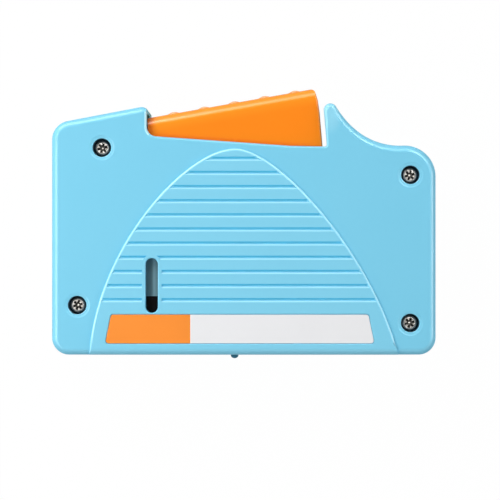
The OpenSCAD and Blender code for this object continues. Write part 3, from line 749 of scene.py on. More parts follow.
def rib_pattern() -> Pattern:
    """A tree that shapes soft cross ribs and repeats them along a line.

    Returns:
        The tree, ready to grow pieces.
    """
    kinds = dict.fromkeys(("Length", "Reach", "Rise", "Root"), "Float")
    tree = Pattern("ribs", kinds | {"Count": "Int", "Step": "Vector", "Tilt": "Vector"})
    given = tree.inputs
    size = tree.wire(
        "ShaderNodeCombineXYZ", 0, {"X": given["Length"], "Y": given["Root"], "Z": given["Reach"]}
    )
    grid = {"Size": size, "Vertices X": 25, "Vertices Y": 2, "Vertices Z": 33}
    bar = tree.wire("GeometryNodeMeshCube", 0, grid)
    at = tree.node("ShaderNodeSeparateXYZ", {0: tree.wire("GeometryNodeInputPosition", 0)})
    x, y, z = (Wire(tree, output) for output in at.outputs)
    wave = tree.maths("COSINE", x / given["Length"] * math.tau) * 0.5 + 0.5
    along = tree.maths("MINIMUM", abs(z / given["Reach"]) * 2, 1.0)
    inner = 1 - tree.maths("POWER", along, RIB_SQUARENESS)
    ends = tree.maths("SQRT", tree.maths("MAXIMUM", inner, 0.0))
    lift = wave * ends * given["Rise"] * (y > 0.0)
    raised = tree.wire("ShaderNodeCombineXYZ", 0, {"Y": lift})
    rib = tree.wire("GeometryNodeSetPosition", 0, {"Geometry": bar, "Offset": raised})
    tilt = tree.wire("FunctionNodeEulerToRotation", 0, {0: given["Tilt"]})
    tree.end(tree.line(), rib, Rotation=tilt)
    return tree


# Finishes


def toned(colour: Colour, share: float) -> Colour:
    """The colour times a share."""
    return tuple(share * c for c in colour)


@dataclass(frozen=True)
class Moulded:
    """Moulded plastic with a faint drift of colour, a fine eroded skin and a soft gloss."""

    name: str
    colour: Colour
    drift: Colour
    roughness: float = 0.36
    spread: float = 0.10
    grain: float = 0.22
    relief: float = 0.10
    cloud: float = 26.0
    coat: float = 0.0
    coat_roughness: float = 0.12
    flow_grain: float = 9.0
    depth: float = 0.02

    def tone(self, s: Shader) -> Wire:
        """The colour of the plastic."""
        return s.mixed(s.noise(self.cloud, 1), self.colour, self.drift)

    def make(self) -> Material:
        """Builds the material.

        Returns:
            The material.
        """
        s = Shader(self.name)
        skin = s.noise(self.grain, 3)
        flow = s.noise(self.flow_grain, 1)
        return s.surface({
            "Base Color": self.tone(s),
            "Roughness": self.roughness + (flow - 0.5) * self.spread,
            "Normal": s.bump(skin, self.relief, self.depth),
            "Coat Weight": self.coat,
            "Coat Roughness": self.coat_roughness,
        })


@dataclass(frozen=True)
class CaseShell(Moulded):
    """Case plastic: a fuller blue down its sides as painted shade, a painted highlight on marked
    edges and about the horn's tip, and painted shade in its grooves and cuts.
    """

    # Painted shade: the fuller blue of the sides, below the face
    side: Colour = (0.105, 0.615, 0.900)
    # Painted highlight: the light blue of marked edges and of the horn's tip
    edge: Colour = (0.46, 0.84, 0.97)
    # Painted shade in the grooves, and fuller painted shade in cuts such as the screw wells
    groove: Colour = (0.075, 0.530, 0.800)
    cut: Colour = (0.008, 0.050, 0.085)
    # Where the painted side shade starts and ends, by height
    down: Ramp = (30.4, 28.7, 0.0, 1.0)
    # Painted highlight about the horn's tip: its place, its reach and strength, and its stretch
    tip: Pair = (0.0, 0.0)
    glow: Ramp = (34.0, 2.0, 0.0, 0.28)
    tip_highlight_stretch: Pair = (1.6, 0.4)

    def tone(self, s: Shader) -> Wire:
        """The colour of the plastic, with painted shade by height, a painted highlight about the
        horn's tip, and painted highlights and shade from the marks on its edges and cuts.

        Args:
            s: The shader that the colour is built in.

        Returns:
            The colour's wire.
        """
        _, _, z = s.axes()
        # Painted shade down the sides, the same on both halves
        mirrored = s.maths("MAXIMUM", z, 2 * self.middle - z)
        plain = s.mixed(s.ramp(mirrored, *self.down), super().tone(s), self.side)
        # Painted highlight about the horn's tip
        x, y, _ = s.axes((*self.tip, 0))
        away = x * x * self.tip_highlight_stretch[0] + y * y * self.tip_highlight_stretch[1]
        plain = s.mixed(s.ramp(away, *self.glow), plain, self.edge)
        # Painted highlights where the marks are below 0, painted shade where they are above it
        deep = s.deep
        highlighted = s.mixed(0.0 - deep, plain, self.edge)
        return s.mixed(deep * 2 - 1, s.mixed(deep * 2, highlighted, self.groove), self.cut)

    @property
    def middle(self) -> float:
        """Height of the seam."""
        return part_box("front_shell")[0].z / MM


@dataclass(frozen=True)
class CrestedGrip(Moulded):
    """Lever plastic with a painted highlight on its ribs' crests, painted top light below them,
    painted shade down its sides and by the notch's walls, and painted shadow low on its free end.
    """

    start: Pair = (0.0, 0.0)
    slope: float = 0.0
    # Painted highlight on the ribs' crests
    crest_highlight: Colour = (1.0, 0.50, 0.26)
    # Painted top light: a lighter orange below the top edge
    top_light: Colour = (1.0, 0.325, 0.012)
    top_light_ramp: Ramp = (-8.0, -2.0, 0.0, 0.8)
    reach: float = 0.8
    # Painted shadow on the lower part of the free end, where the horn shades it
    low: Colour = (0.12, 0.006, 0.002)
    # Painted shade: a redder orange down the sides and by the notch's floor and wall
    under: Colour = (1.0, 0.135, 0.003)
    # Where the painted shadow on the free end lies: past this x, below this y, behind this z
    end: Triple = (54.5, 3.4, 27.4)
    # Where the painted shade by the notch's floor and wall lies
    foot: Pair = (-6.45, 0.0705)
    foot_shade_stretch: float = 0.6
    foot_shade: Ramp = (1.8, 0.1, 0.0, 0.7)
    most: float = 0.75
    under_line: float = -4.0
    fade: float = 1.0

    def tone(self, s: Shader) -> Wire:
        """The colour of the plastic, with its painted highlight, top light, shade and shadow, by the
        place on the lever.

        Args:
            s: The shader that the colour is built in.

        Returns:
            The colour's wire.
        """
        x, y, z = s.axes((*self.start, 0))
        above = (y - x * steepness(self.slope)) / self.reach
        share = s.maths("MINIMUM", s.maths("MAXIMUM", above, 0.0), self.most)
        plain = s.mixed(s.ramp(above, *self.top_light_ramp), super().tone(s), self.top_light)
        past, high, front = self.end
        # Painted shade on the sides below the top edge, and by the notch's floor and wall
        behind = s.ramp(z, front + self.fade, front, 0.0, 1.0) * (above < self.under_line)
        height, fall = self.foot
        away = s.maths("MINIMUM", x * self.foot_shade_stretch, y + x * fall - height)
        under = s.maths("MAXIMUM", behind, s.ramp(away, *self.foot_shade))
        crest = s.mixed(under, s.mixed(share, plain, self.crest_highlight), self.under)
        # Painted shadow low on the free end
        return s.mixed((x > past) * (y < high) * (z < front), crest, self.low)


@dataclass(frozen=True)
class Metal:
    """Plated or ground steel with fine turned marks, a few dull spots, soft dents and painted shade
    on marked recess faces.
    """

    name: str
    bright: Colour
    dull: Colour
    roughness: float = 0.24
    marks: float = 0.12
    dents: float = 0.0
    mark_depth: float = 0.0012
    spot_grain: float = 0.9
    dent_grain: float = 0.8
    spread: float = 0.12
    recess_shade_share: float = 0.08
    spot_stops: Pair = (0.35, 0.7)

    def make(self) -> Material:
        """Builds the material.

        Returns:
            The material.
        """
        s = Shader(self.name)
        spots = s.noise(self.spot_grain, 4)
        lines = s.noise(self.marks, 1)
        stops = list(zip(self.spot_stops, ((0, 0, 0), (1, 1, 1))))
        shine = s.wire("ShaderNodeValToRGB", 0, {0: spots}, stops=stops)
        # Painted shade in the marked recesses
        shade_tone = toned(self.dull, self.recess_shade_share)
        relief = lines * self.mark_depth + s.noise(self.dent_grain, 0) * self.dents
        return s.surface({
            "Base Color": s.mixed(s.deep, s.mixed(shine, self.bright, self.dull), shade_tone),
            "Metallic": 1.0,
            "Roughness": self.roughness + spots * self.spread,
            "Normal": s.bump(relief, 1.0, 1.0),
        })


@dataclass(frozen=True)
class WoundTape:
    """Microfibre tape, its layers seen as fine rings about the roll's axis, with painted shade in the
    gaps between turns.
    """

    name: str
    colour: Colour
    fleck: Colour
    axis: Pair
    pitch: float
    sharpness: float = 5.0
    weave: float = 14.0
    gap_shade_share: float = 0.55
    fuzz_grain: float = 0.3
    roughness: float = 0.72
    relief: float = 0.35
    depth: float = 0.08
    sheen: float = 0.25
    spread: float = 0.2
    fuzz_height: float = 0.6
    weave_height: float = 0.2
    gap_depth: float = 0.4

    def make(self) -> Material:
        """Builds the material.

        Returns:
            The material.
        """
        s = Shader(self.name)
        x, y, z = s.axes((*self.axis, 0))
        radius = s.maths("SQRT", x * x + y * y)
        ring = s.maths("FRACT", radius / self.pitch)
        groove = abs(ring - 0.5) * 2
        sharp = s.maths("POWER", groove, self.sharpness)
        fuzz = s.noise(self.fuzz_grain, 5)
        weave = s.maths("SINE", z * self.weave) * 0.5 + 0.5
        plain = s.mixed(fuzz, self.colour, self.fleck)
        # Painted shade in the gaps between turns
        shade_tone = toned(self.colour, self.gap_shade_share)
        height = fuzz * self.fuzz_height + weave * self.weave_height - sharp * self.gap_depth
        return s.surface({
            "Base Color": s.mixed(sharp, plain, shade_tone),
            "Roughness": self.roughness + fuzz * self.spread,
            "Normal": s.bump(height, self.relief, self.depth),
            "Sheen Weight": self.sheen,
        })


@dataclass(frozen=True)
class Pressed:
    """Felt, foam or rubber with a fine open surface."""

    name: str
    colour: Colour
    light: Colour
    grain: float
    relief: float = 0.4
    roughness: float = 0.85
    depth: float = 0.05
    spread: float = 0.1

    def make(self) -> Material:
        """Builds the material.

        Returns:
            The material.
        """
        s = Shader(self.name)
        inputs = {"Vector": s.place, "Scale": 1 / (self.grain * MM)}
        cells = s.wire("ShaderNodeTexVoronoi", "Distance", inputs)
        fuzz = s.noise(self.grain, 4)
        return s.surface({
            "Base Color": s.mixed(fuzz, self.colour, self.light),
            "Roughness": self.roughness + cells * self.spread,
            "Normal": s.bump(cells + fuzz, self.relief, self.depth),
        })


@dataclass(frozen=True)
class ClearStrip:
    """A thin frosted strip, its grey tint standing in for the tape behind it in shade, with a painted
    highlight band and painted shadow below the tape.
    """

    name: str
    tint: Colour
    shadow_below: Colour
    veil: float
    border: float
    glint: float
    glint_fade: Ramp = (0.9, 0.1, 0.0, 1.0)
    glint_share: float = 1.45
    roughness: float = 0.06
    streak_grain: float = 2.5
    spread: float = 0.08

    def make(self) -> Material:
        """Builds the material.

        Returns:
            The material.
        """
        s = Shader(self.name)
        streaks = s.noise(self.streak_grain, 3)
        x, y, _ = s.axes((self.glint, 0, 0))
        # Painted highlight band about the glint's x, and painted shadow below the tape's edge
        light = toned(self.tint, self.glint_share)
        tint_with_highlight = s.mixed(s.ramp(abs(x), *self.glint_fade), self.tint, light)
        return s.surface({
            "Base Color": s.mixed(y > self.border, self.shadow_below, tint_with_highlight),
            "Roughness": self.roughness + streaks * self.spread,
            "Alpha": self.veil,
        })


@dataclass(frozen=True)
class PrintedFilm:
    """A bare label: a coloured field, a thin pale strip and a plain field."""

    name: str
    field_colour: Colour
    plain_colour: Colour
    strip_colour: Colour
    border: float
    strip: float
    field_fade: float = 0.92
    plain_fade: float = 0.965
    wash_grain: float = 14.0
    fleck_grain: float = 0.5
    roughness: float = 0.34
    relief: float = 0.05
    depth: float = 0.01
    coat: float = 0.25
    coat_roughness: float = 0.15
    spread: float = 0.1

    def make(self) -> Material:
        """Builds the material.

        Returns:
            The material.
        """
        s = Shader(self.name)
        x, _, _ = s.axes()
        fleck = s.noise(self.fleck_grain, 3)
        wash = s.noise(self.wash_grain, 1)
        past = x > self.border
        off_strip = abs(x - self.border) > self.strip / 2
        field = s.mixed(wash, self.field_colour, toned(self.field_colour, self.field_fade))
        plain = s.mixed(wash, self.plain_colour, toned(self.plain_colour, self.plain_fade))
        inks = s.mixed(past, field, plain)
        return s.surface({
            "Base Color": s.mixed(off_strip, self.strip_colour, inks),
            "Roughness": self.roughness + fleck * self.spread,
            "Normal": s.bump(fleck, self.relief, self.depth),
            "Coat Weight": self.coat,
            "Coat Roughness": self.coat_roughness,
        })


# The case


@dataclass(frozen=True)
class CaseForm:
    """Sizes of the case, and the outlines that follow from them."""

    width: float
    height: float
    depth: float
    wall: float = 2.2
    rim: float = 2.4
    notch_rim: float = 0.8
    foot_corner: float = 5.8
    back_corner: float = 6.5
    front_corner: float = 10.5
    horn_r: float = 2.27
    horn_shares: Pair = (0.451, 0.975)
    horn_start: float = 25
    shoulder_share: float = 0.834
    back_share: float = 0.92
    back_slope: float = 10.8
    notch_corner: float = 3.3
    notch_draft: float = 0.8
    notch_soft: float = 0.7
    notch_slope: float = 4
    notch_shares: Pair = (-0.505, 0.432)
    lip_share: float = 0.413
    inner_lip_share: float = 0.407
    tip_rim: float = 1.5
    tip_corner: float = 2.9
    hinge_shares: Pair = (-0.4985, 0.9465)
    lever_slope: float = 10.0
    head_sunk: float = 2.6
    seam: float = 0.25
    rise: float = 0.8
    gap: float = 0.3
    slack: float = 0.15
    corner_steps: int = 20
    curve_steps: int = 48
    rim_steps: int = 9
    start_share: float = 0.8
    roof_share: float = 1.2
    panel_foot: float = 1.3
    slope_walls: float = 1.02
    shoulder_walls: float = 1.3
    scoop_shares: Pairs = ((0.723, 0.829), (0.585, 0.861))
    floor_shares: Pairs = ((-0.459, 0.8695), (0.24, 0.832), (0.41, 0.829))
    screw_shares: Pairs = ((-0.738, 0.824), (0.866, 0.716), (-0.866, 0.198), (0.865, 0.127))
    apex_shares: Pair = (-0.0447, 0.8215)
    panel_shares: tuple[tuple[float, Pair, float], ...] = (
        (-0.2572, (-0.769, 0.428), -0.805), (0.2231, (0.6655, 0.4069), 0.8054),
    )
    horn_walls: tuple[Triple, ...] = ((0.25, 0.0, 1.1), (0.5, 0.5, 1.2), (0.7, 1.0, 1.0))
    horn_end: Triple = (0.8, 0.9, 1.2)

    @classmethod
    def from_frame(cls) -> "CaseForm":
        """Reads the case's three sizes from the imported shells.

        Returns:
            The case's form.
        """
        low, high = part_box("front_shell")
        tip = (high.y - low.y) / MM - cls.horn_r
        return cls((high.x - low.x) / MM, tip / cls.horn_shares[1], high.z / MM)

    @property
    def mid(self) -> float:
        """Height of the seam between the shells."""
        return self.depth / 2

    @property
    def face(self) -> float:
        """Height of the case's face beside the grip panel."""
        return self.depth - self.rise

    @property
    def inner(self) -> float:
        """Height of the inner side of the face."""
        return self.face - self.wall

    def across(self, share: float) -> float:
        """A place along the case, as a share of half its width."""
        return share * self.width / 2

    def place(self, x_share: float, y_share: float) -> Vector:
        """A place on the case, as shares of half its width and of its height."""
        return Vector((self.across(x_share), y_share * self.height))

    def places(self, shares: Pairs) -> Places:
        """Several places on the case, each from its two shares."""
        return [self.place(*share) for share in shares]

    def back_line(self, x: float) -> float:
        """Height of the sloping back shoulder at a place along the case."""
        slope = steepness(self.back_slope)
        return self.back_share * self.height + (x + self.width / 2) * slope

    @property
    def horn(self) -> Vector:
        """Centre of the horn's tip."""
        return self.place(*self.horn_shares)

    @property
    def shoulder(self) -> float:
        """Height of the front shoulder."""
        return self.shoulder_share * self.height

    @property
    def notch_left(self) -> float:
        """The notch's side by the hinge."""
        return self.across(self.notch_shares[0])

    @property
    def notch_right(self) -> float:
        """The notch's side under the horn."""
        return self.across(self.notch_shares[1])

    @property
    def hinge(self) -> Pair:
        """Upper corner of the lever's end by the hinge."""
        x_share, y_share = self.hinge_shares
        return self.across(x_share), y_share * self.height

    @property
    def scoop(self) -> Places:
        """The hollow curve between the front shoulder and the horn.

        Returns:
            The curve's four control points.
        """
        start = Vector((self.width / 2 - self.front_corner, self.shoulder))
        end = self.horn + self.horn_r * turn(self.horn_start)
        return [start, *self.places(self.scoop_shares), end]

    def outline(self) -> Places:
        """The case's outline with its rim radii, counter-clockwise from the window edge.

        Returns:
            The outline, with its rim radii as third values.
        """
        half, steps = self.width / 2, self.corner_steps
        horn_rim = self.rim * 2 / 3
        foot, front = self.foot_corner, self.front_corner
        left = self.notch_left + OVER
        lower, upper = Vector((half - foot, foot)), Vector((half - front, self.shoulder - front))
        back = Vector((-half, self.back_line(-half)))
        shoulder = corner(
            Vector((0, self.back_line(0))), back, Vector((-half, 0)), self.back_corner, steps
        )
        below = self.notch_floor()[0].y + self.notch_corner
        top = Vector((left, self.back_line(left)))
        tip = corner(Vector((left, below)), top, back, self.tip_corner, steps)
        ease = [k / self.curve_steps for k in range(1, self.curve_steps)]
        return [
            Vector((self.horn.x - self.start_share * self.horn_r, 0, self.rim)),
            *with_rim(arc(lower, foot, -90, 0, steps), self.rim),
            *with_rim(arc(upper, front, 0, 90, steps), self.rim),
            *[
                Vector((*bezier(self.scoop, t), self.rim + (horn_rim - self.rim) * t**3))
                for t in ease
            ],
            *with_rim(arc(self.horn, self.horn_r, self.horn_start, 180, steps), horn_rim),
            Vector((left, below, self.notch_rim)),
            *[
                Vector((p.x, p.y, self.notch_rim + (self.rim - self.notch_rim) * k / steps))
                for k, p in enumerate(tip)
            ],
            *with_rim(shoulder, self.rim),
            *with_rim(arc(Vector((foot - half, foot)), foot, 180, 270, steps), self.rim),
        ]

    def notch_floor(self) -> Places:
        """The three points of the notch's floor."""
        return self.places(self.floor_shares)

    def notch(self) -> Places:
        """The notch between the shoulder and the horn.

        Returns:
            The outline's points.
        """
        left, right, lip = self.notch_left, self.notch_right, self.across(self.lip_share)
        roof, soft = self.roof_share * self.height, self.notch_soft
        floor = self.notch_floor()
        start = floor[0].y + steepness(self.notch_slope) * (floor[0].x - left)
        return rounded(
            [
                (left, start, self.notch_corner),
                (*floor[1], 0),
                (right, floor[2].y, soft),
                (lip, self.horn.y + self.horn_r, 0),
                (lip, roof, 0),
                (left - soft - OVER, roof, 0),
                (left - soft - OVER, self.back_line(left), 0),
                (left, self.back_line(left), soft),
            ],
            self.corner_steps,
        )

    def panel(self) -> Places:
        """The grip panel: a lopsided arch of two curves that stand on the window edge.

        Returns:
            The outline's points.
        """
        apex = self.place(*self.apex_shares)
        left, right = [
            [apex, apex + Vector((self.across(head), 0)), self.place(*bend), self.place(foot, 0)]
            for head, bend, foot in self.panel_shares
        ]
        n = self.curve_steps
        line = [
            *[bezier(right, k / n) for k in range(n, 0, -1)],
            *[bezier(left, k / n) for k in range(n + 1)],
        ]
        return [line[0], *[p for p in line if p.y > self.panel_foot * self.rim], line[-1]]

    def cavity(self) -> Places:
        """The hollow of the case.

        Returns:
            The outline's points.
        """
        half, wall = self.width / 2, self.wall
        right = self.notch_right - self.slack
        lip = self.across(self.inner_lip_share) - self.slack
        left = self.notch_left + OVER
        floor_y = self.notch_floor()[2].y
        slope = self.slope_walls * wall
        shoulder = self.shoulder - self.shoulder_walls * wall
        return rounded(
            [
                (wall - half, wall, self.foot_corner - wall),
                (half - wall, wall, self.foot_corner - wall),
                (half - wall, shoulder, self.front_corner - wall),
                (right, floor_y - wall, 0),
                (right, floor_y + self.notch_soft, 0),
                (lip, self.horn.y - self.horn_r, 0),
                (left, self.back_line(left) - slope, 0),
                (wall - half, self.back_line(wall - half) - slope, self.back_corner - wall),
            ],
            self.corner_steps,
        )

    def horn_core(self) -> Places:
        """The hollow behind the horn.

        Returns:
            The outline's points.
        """
        wall, right = self.wall, self.notch_right + self.notch_draft
        foot = self.notch_floor()[2].y - wall - OVER
        share, inward, down = self.horn_end
        return [
            Vector((right + wall, foot)),
            Vector((self.scoop[0].x - wall, foot)),
            *[bezier(self.scoop, t) - Vector((x * wall, y * wall)) for t, x, y in self.horn_walls],
            Vector((right + inward * wall, bezier(self.scoop, share).y - down * wall)),
        ]

    def screws(self) -> Places:
        """Places of the four case screws."""
        return self.places(self.screw_shares)


class Half(Enum):
    """The two halves of the case."""

    FRONT = "front_shell"
    REAR = "rear_shell"


@dataclass(frozen=True)
class Grip:
    """Sizes of the grooves on the grip panel."""

    count: int
    top_share: float = 0.78
    pitch: float = 4.77
    ends: float = 0.82
    bed: Pairs = (
        (-0.75, 0.0), (-0.66, -0.03), (-0.57, -0.10), (-0.30, -0.45), (-0.20, -0.55),
        (-0.08, -0.59), (0.14, -0.59), (0.25, -0.55), (0.34, -0.44), (0.52, -0.11),
        (0.60, -0.03), (0.69, 0.0),
    )
    # Painted highlight on each groove's lower wall, painted shade on its bed and more on its upper
    # wall
    bed_marks: Values = (-0.6,) * 4 + (0.2,) * 3 + (0.5,) * 4 + (0.0,) * 3

    def profile(self) -> Places:
        """Section of a groove, steeper on its upper side, across and below the panel's face."""
        right, left = self.bed[-1][0], self.bed[0][0]
        return [*map(Vector, self.bed), Vector((right, OVER)), Vector((left, OVER))]


@dataclass(frozen=True)
class Slot:
    """The sight slot over the supply reel."""

    length: float = 18.4
    width: float = 4.1
    lip: float = 0.45
    pad: float = 1.3
    y_share: float = 0.276
    steps: int = 24
    slack: float = 0.01

    def outline(self, form: CaseForm, grow: float) -> Places:
        """The slot's outline, grown by an amount.

        Args:
            form: The case's sizes.
            grow: How far the outline is moved out.

        Returns:
            The outline's points.
        """
        at, r = form.place(SUPPLY_AXIS[0], self.y_share), self.width / 2
        reach = Vector((0, self.length / 2 - r))
        return [
            *arc(at + reach, r + grow, 0, 180, self.steps),
            *arc(at - reach, r + grow, 180, 360, self.steps),
        ]


@dataclass(frozen=True)
class Label:
    """The label and its recess."""

    height: float = 10.0
    length: float = 91.1
    thickness: float = 0.4
    recess: float = 0.5
    lean: float = 2.0
    soft: float = 0.95
    film_rim: float = 0.12
    at_shares: Pair = (-0.021, 0.1035)
    lip: float = 0.3
    corner_steps: int = 8
    rim_steps: int = 4

    def outline(self, form: CaseForm, shrink: float) -> Places:
        """The label's outline, drawn in by an amount.

        Args:
            form: The case's sizes.
            shrink: How far the outline is moved in.

        Returns:
            The outline's points.
        """
        at = form.place(*self.at_shares)
        low, high = at.y - self.height / 2 + shrink, at.y + self.height / 2 - shrink
        half = self.length / 2 - shrink
        points = [
            (at.x - half, low, self.soft),
            (at.x + half, low, self.soft),
            (at.x + half - self.lean, high, self.soft),
            (at.x - half + self.lean, high, self.soft),
        ]
        return rounded(points, self.corner_steps)

    def build(self, form: CaseForm, finish: Material) -> None:
        """Makes the film with softened edges and sets it in its recess.

        Args:
            form: The case's sizes.
            finish: The material of the piece.
        """
        low = form.depth - self.recess
        rim = with_rim(self.outline(form, form.gap / 2), self.film_rim)
        rings = [level(rim, low), *rim_rings(rim, low + self.thickness, 1, 1, self.rim_steps)]
        film = loft("label_film", rings)
        shade(film, finish)
        fit(film, "case", "label_film", "label")


@dataclass(frozen=True)
class Shell:
    """One half of the case."""

    form: CaseForm
    half: Half
    grip: Grip
    slot: Slot
    label: Label
    rows: Pattern
    head_dia: float = 4.8
    well_dia: float = 6.2
    shank_dia: float = 2.9
    post_r: float = 4.4
    post_graft: float = 0.5
    core_reach: float = 1.0
    core_share: float = 0.77
    head_share: float = 0.4
    bore_slack: Pair = (0.08, 0.04)
    well_lip: float = 0.3
    well_lip_drop: float = 0.41
    dish: Pair = (0.75, 0.5)
    dish_drop: float = 0.11
    window_share: float = -0.049
    window_reach_share: float = 0.75
    window_right: float = 5.8
    half_ridge: float = 1.3
    travel: float = 15.4893
    post_sides: int = 64
    bore_sides: int = 48
    well_sides: int = 72
    shaded_well_sides: int = 4
    lip_steps: int = 6
    lip_turns: Values = (0, 22, 45, 68, 90)
    dish_shares: Values = (0, 0.2, 0.4, 0.6, 0.8, 1)
    # Painted shade on the walls of the slot and the label's recess, fading up their lips
    lip_marks: Values = (0.7, 0.5, 0.2, 0.0, 0.0, 0.0, 0.0, 0.0)
    # Painted shade at the foot of the grip panel, then a painted highlight up its bevel
    bevel_marks: Values = (0.3, 0.5, 0.35, -0.2, -0.7, -0.7, -0.3, -0.1, -0.08)
    bevel: Pairs = (
        (0.0, 0.8), (0.03, 0.56), (0.09, 0.38), (0.19, 0.26), (0.32, 0.185), (0.47, 0.115),
        (0.62, 0.055), (0.75, 0.016), (0.86, 0.0),
    )

    def drawn(self, tool: Piece) -> Piece:
        """A solid drawn for the front half, turned over where this is the rear half.

        Args:
            tool: The solid.

        Returns:
            The same solid.
        """
        if self.half is Half.REAR:
            middle = Matrix.Translation((0, 0, self.form.depth * MM))
            tool.data.transform(middle @ Matrix.Scale(-1, 4, (0, 0, 1)))
            tool.data.flip_normals()
        return tool

    def body(self) -> Piece:
        """The half's outer form, solid inside.

        Returns:
            The solid.
        """
        form = self.form
        rim = form.outline()
        seam = with_rim(rim, form.seam)
        rings = [
            rim_ring(seam, form.mid, -1, 1, 90),
            rim_ring(seam, form.mid, -1, 1, 0),
            *rim_rings(rim, form.face, 1, 1, form.rim_steps),
        ]
        return self.drawn(loft(self.half.value + "_dressed", rings))

    def hill(self) -> Piece:
        """The raised grip panel with its rounded edge, ending in the case's rim.

        Returns:
            The solid.
        """
        form = self.form
        line = form.panel()
        tuck, rim = form.rise / 4, form.rim
        ends = {0: -1, len(line) - 1: 1}
        base = level(line, form.face - tuck)
        for i in ends:
            base[i] = Vector((line[i].x, tuck, form.depth - rim - tuck))
        rings = [base]
        for k, (reach, drop) in enumerate(self.bevel):
            c, s = turn(90 * k / (len(self.bevel) - 1))
            ring = level(inset(line, reach), form.depth - drop)
            for i, way in ends.items():
                inward, height = rim * (1 - c), form.depth - rim * (1 - s)
                ring[i] = Vector((line[i].x + way * reach, inward, height))
            rings.append(ring)
        last = self.bevel_marks[-1]
        marks = [
            share if i < len(line) - 1 else last
            for share in self.bevel_marks
            for i in range(len(line))
        ]
        return self.drawn(mark(loft("hill", rings), marks, last))

    def core(self) -> Piece:
        """The hollow of the half, grown halfway into the wall and less its screw posts.

        Returns:
            The solid.
        """
        form = self.form
        reach, top = self.core_reach, form.inner + self.core_share * form.wall
        core = prism("core", inset(form.cavity(), -reach), 0, top)
        combine(core, prism("horn_core", inset(form.horn_core(), -reach), 0, top), Way.ADD)
        post = self.post_r - self.post_graft
        for at in form.screws():
            rod = turned("post", at, ((post, -OVER), (post, top + OVER)), self.post_sides)
            combine(core, rod, Way.TAKE)
        return self.drawn(core)

    def inside(self) -> Piece:
        """Walls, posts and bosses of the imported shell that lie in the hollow.

        Returns:
            The solid.
        """
        inside = merged_copy(self.half.value)
        combine(inside, self.core(), Way.KEEP)
        return inside

    def notch(self) -> Piece:
        """The notch for the lever, with its rounded rim.

        Returns:
            The cutting solid.
        """
        form = self.form
        lip, seam = form.across(form.lip_share) - OVER, form.notch_draft
        face = 0 if self.half is Half.FRONT else 2 * seam
        rim = [
            Vector((p.x, p.y, form.tip_rim if p.x > lip and p.y > form.horn.y else form.notch_rim))
            for p in leaned(form.notch(), lip, face)
        ]
        low = level(leaned(form.notch(), lip, seam), form.mid - OVER)
        rings = [low, *rim_rings(rim, form.face, 1, -1, form.rim_steps)]
        cut = loft("notch", [*rings, level(rings[-1], form.depth + OVER)])
        wall, above = form.notch_left + OVER, form.shoulder + 2 * OVER
        # Painted highlight on the notch's wall by the hinge, above the shoulder
        marks = [FULL_PAINTED_HIGHLIGHT if p.x < wall and p.y > above else 0.0 for p in rim]
        return self.drawn(mark(cut, marks * len(rings)))

    def grooves(self) -> Piece:
        """The grooves, which stop at the panel's edge and round the slot.

        Returns:
            The cutting solid.
        """
        form, grip = self.form, self.grip
        half = form.width / 2
        profile = grip.profile()
        first = grip.top_share * form.height
        bar = loft("bar", [
            [Vector((x, first + p.x, form.depth + p.y)) for p in profile] for x in (-half, half)
        ])
        mark(bar, grip.bed_marks)
        step = (0, -grip.pitch * MM, 0)
        grooves = self.rows.grow("grooves", [Vector()], Piece=bar, Count=grip.count, Step=step)
        discard(bar)
        area = loft("area", [
            level(inset(form.panel(), reach), z)
            for reach, z in (
                (grip.ends + 2 * form.rise, form.face - OVER),
                (grip.ends, form.depth),
                (grip.ends, form.depth + 2 * OVER),
            )
        ])
        if self.half is Half.FRONT:
            around = self.slot.outline(form, self.slot.pad)
            combine(area, prism("around", around, form.inner, form.depth + 3 * OVER), Way.TAKE)
        combine(grooves, area, Way.KEEP)
        return self.drawn(grooves)

    def window(self) -> Piece:
        """The wiping window in the edge wall, shared by both halves.

        Returns:
            The cutting solid.
        """
        low, high = (point.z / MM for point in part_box("tape_span"))
        reach, centre = self.window_reach_share * (high - low) / 2, (low + high) / 2
        middle = self.form.across(self.window_share)
        left = middle - self.travel - self.half_ridge - self.form.gap
        return block(
            "window",
            (left, -OVER, centre - reach),
            (middle + self.window_right, self.form.wall + 2 * OVER, centre + reach),
        )

    def flared(self, name: str, outline: Places, low: float, lip: float) -> Piece:
        """An upright cut with a rounded lip at the panel's face.

        Args:
            name: Name of the object.
            outline: Outline of the cut.
            low: Height of its lower end.
            lip: Radius of its lip.

        Returns:
            The cutting solid.
        """
        top = self.form.depth
        rim = with_rim(outline, lip)
        rings = [level(rim, low), *rim_rings(rim, top, 1, -1, self.lip_steps)]
        cut = loft(name, [*rings, level(rings[-1], top + OVER)])
        return mark(cut, [share for share in self.lip_marks for _ in rim])

    def well(self, at: Vector) -> Piece:
        """A screw's well with its dished mouth and the bore under it.

        Args:
            at: Place of the screw.

        Returns:
            The cutting solid.
        """
        form = self.form
        r, bore = self.well_dia / 2, self.shank_dia / 2 + self.bore_slack[0]
        lip_r, (start, run) = self.well_lip, self.dish
        lip = [
            (r + lip_r - lip_r * t.x, form.face - self.well_lip_drop + lip_r * t.y)
            for t in map(turn, self.lip_turns)
        ]
        dish = [
            (r + start + run * t, form.face - self.dish_drop * (1 - t * t * (3 - 2 * t)))
            for t in self.dish_shares
        ]
        profile = [
            (bore, form.mid - OVER),
            (bore, self.seat),
            (r, self.seat),
            *lip,
            *dish,
            (r + start + run, form.depth + OVER),
        ]
        sides = self.well_sides
        # Painted shade deep in the well: on its bore, floor, wall and the foot of its lip
        shares = [
            FULL_PAINTED_SHADE if k < self.shaded_well_sides else 0.0
            for k in range(len(profile) - 1)
            for _ in range(sides)
        ]
        return mark(turned("well", at, profile, sides), shares)

    @property
    def seat(self) -> float:
        """Height of the well's floor, on which the screw's head sits."""
        return self.form.face - self.form.head_sunk - self.head_share * self.head_dia

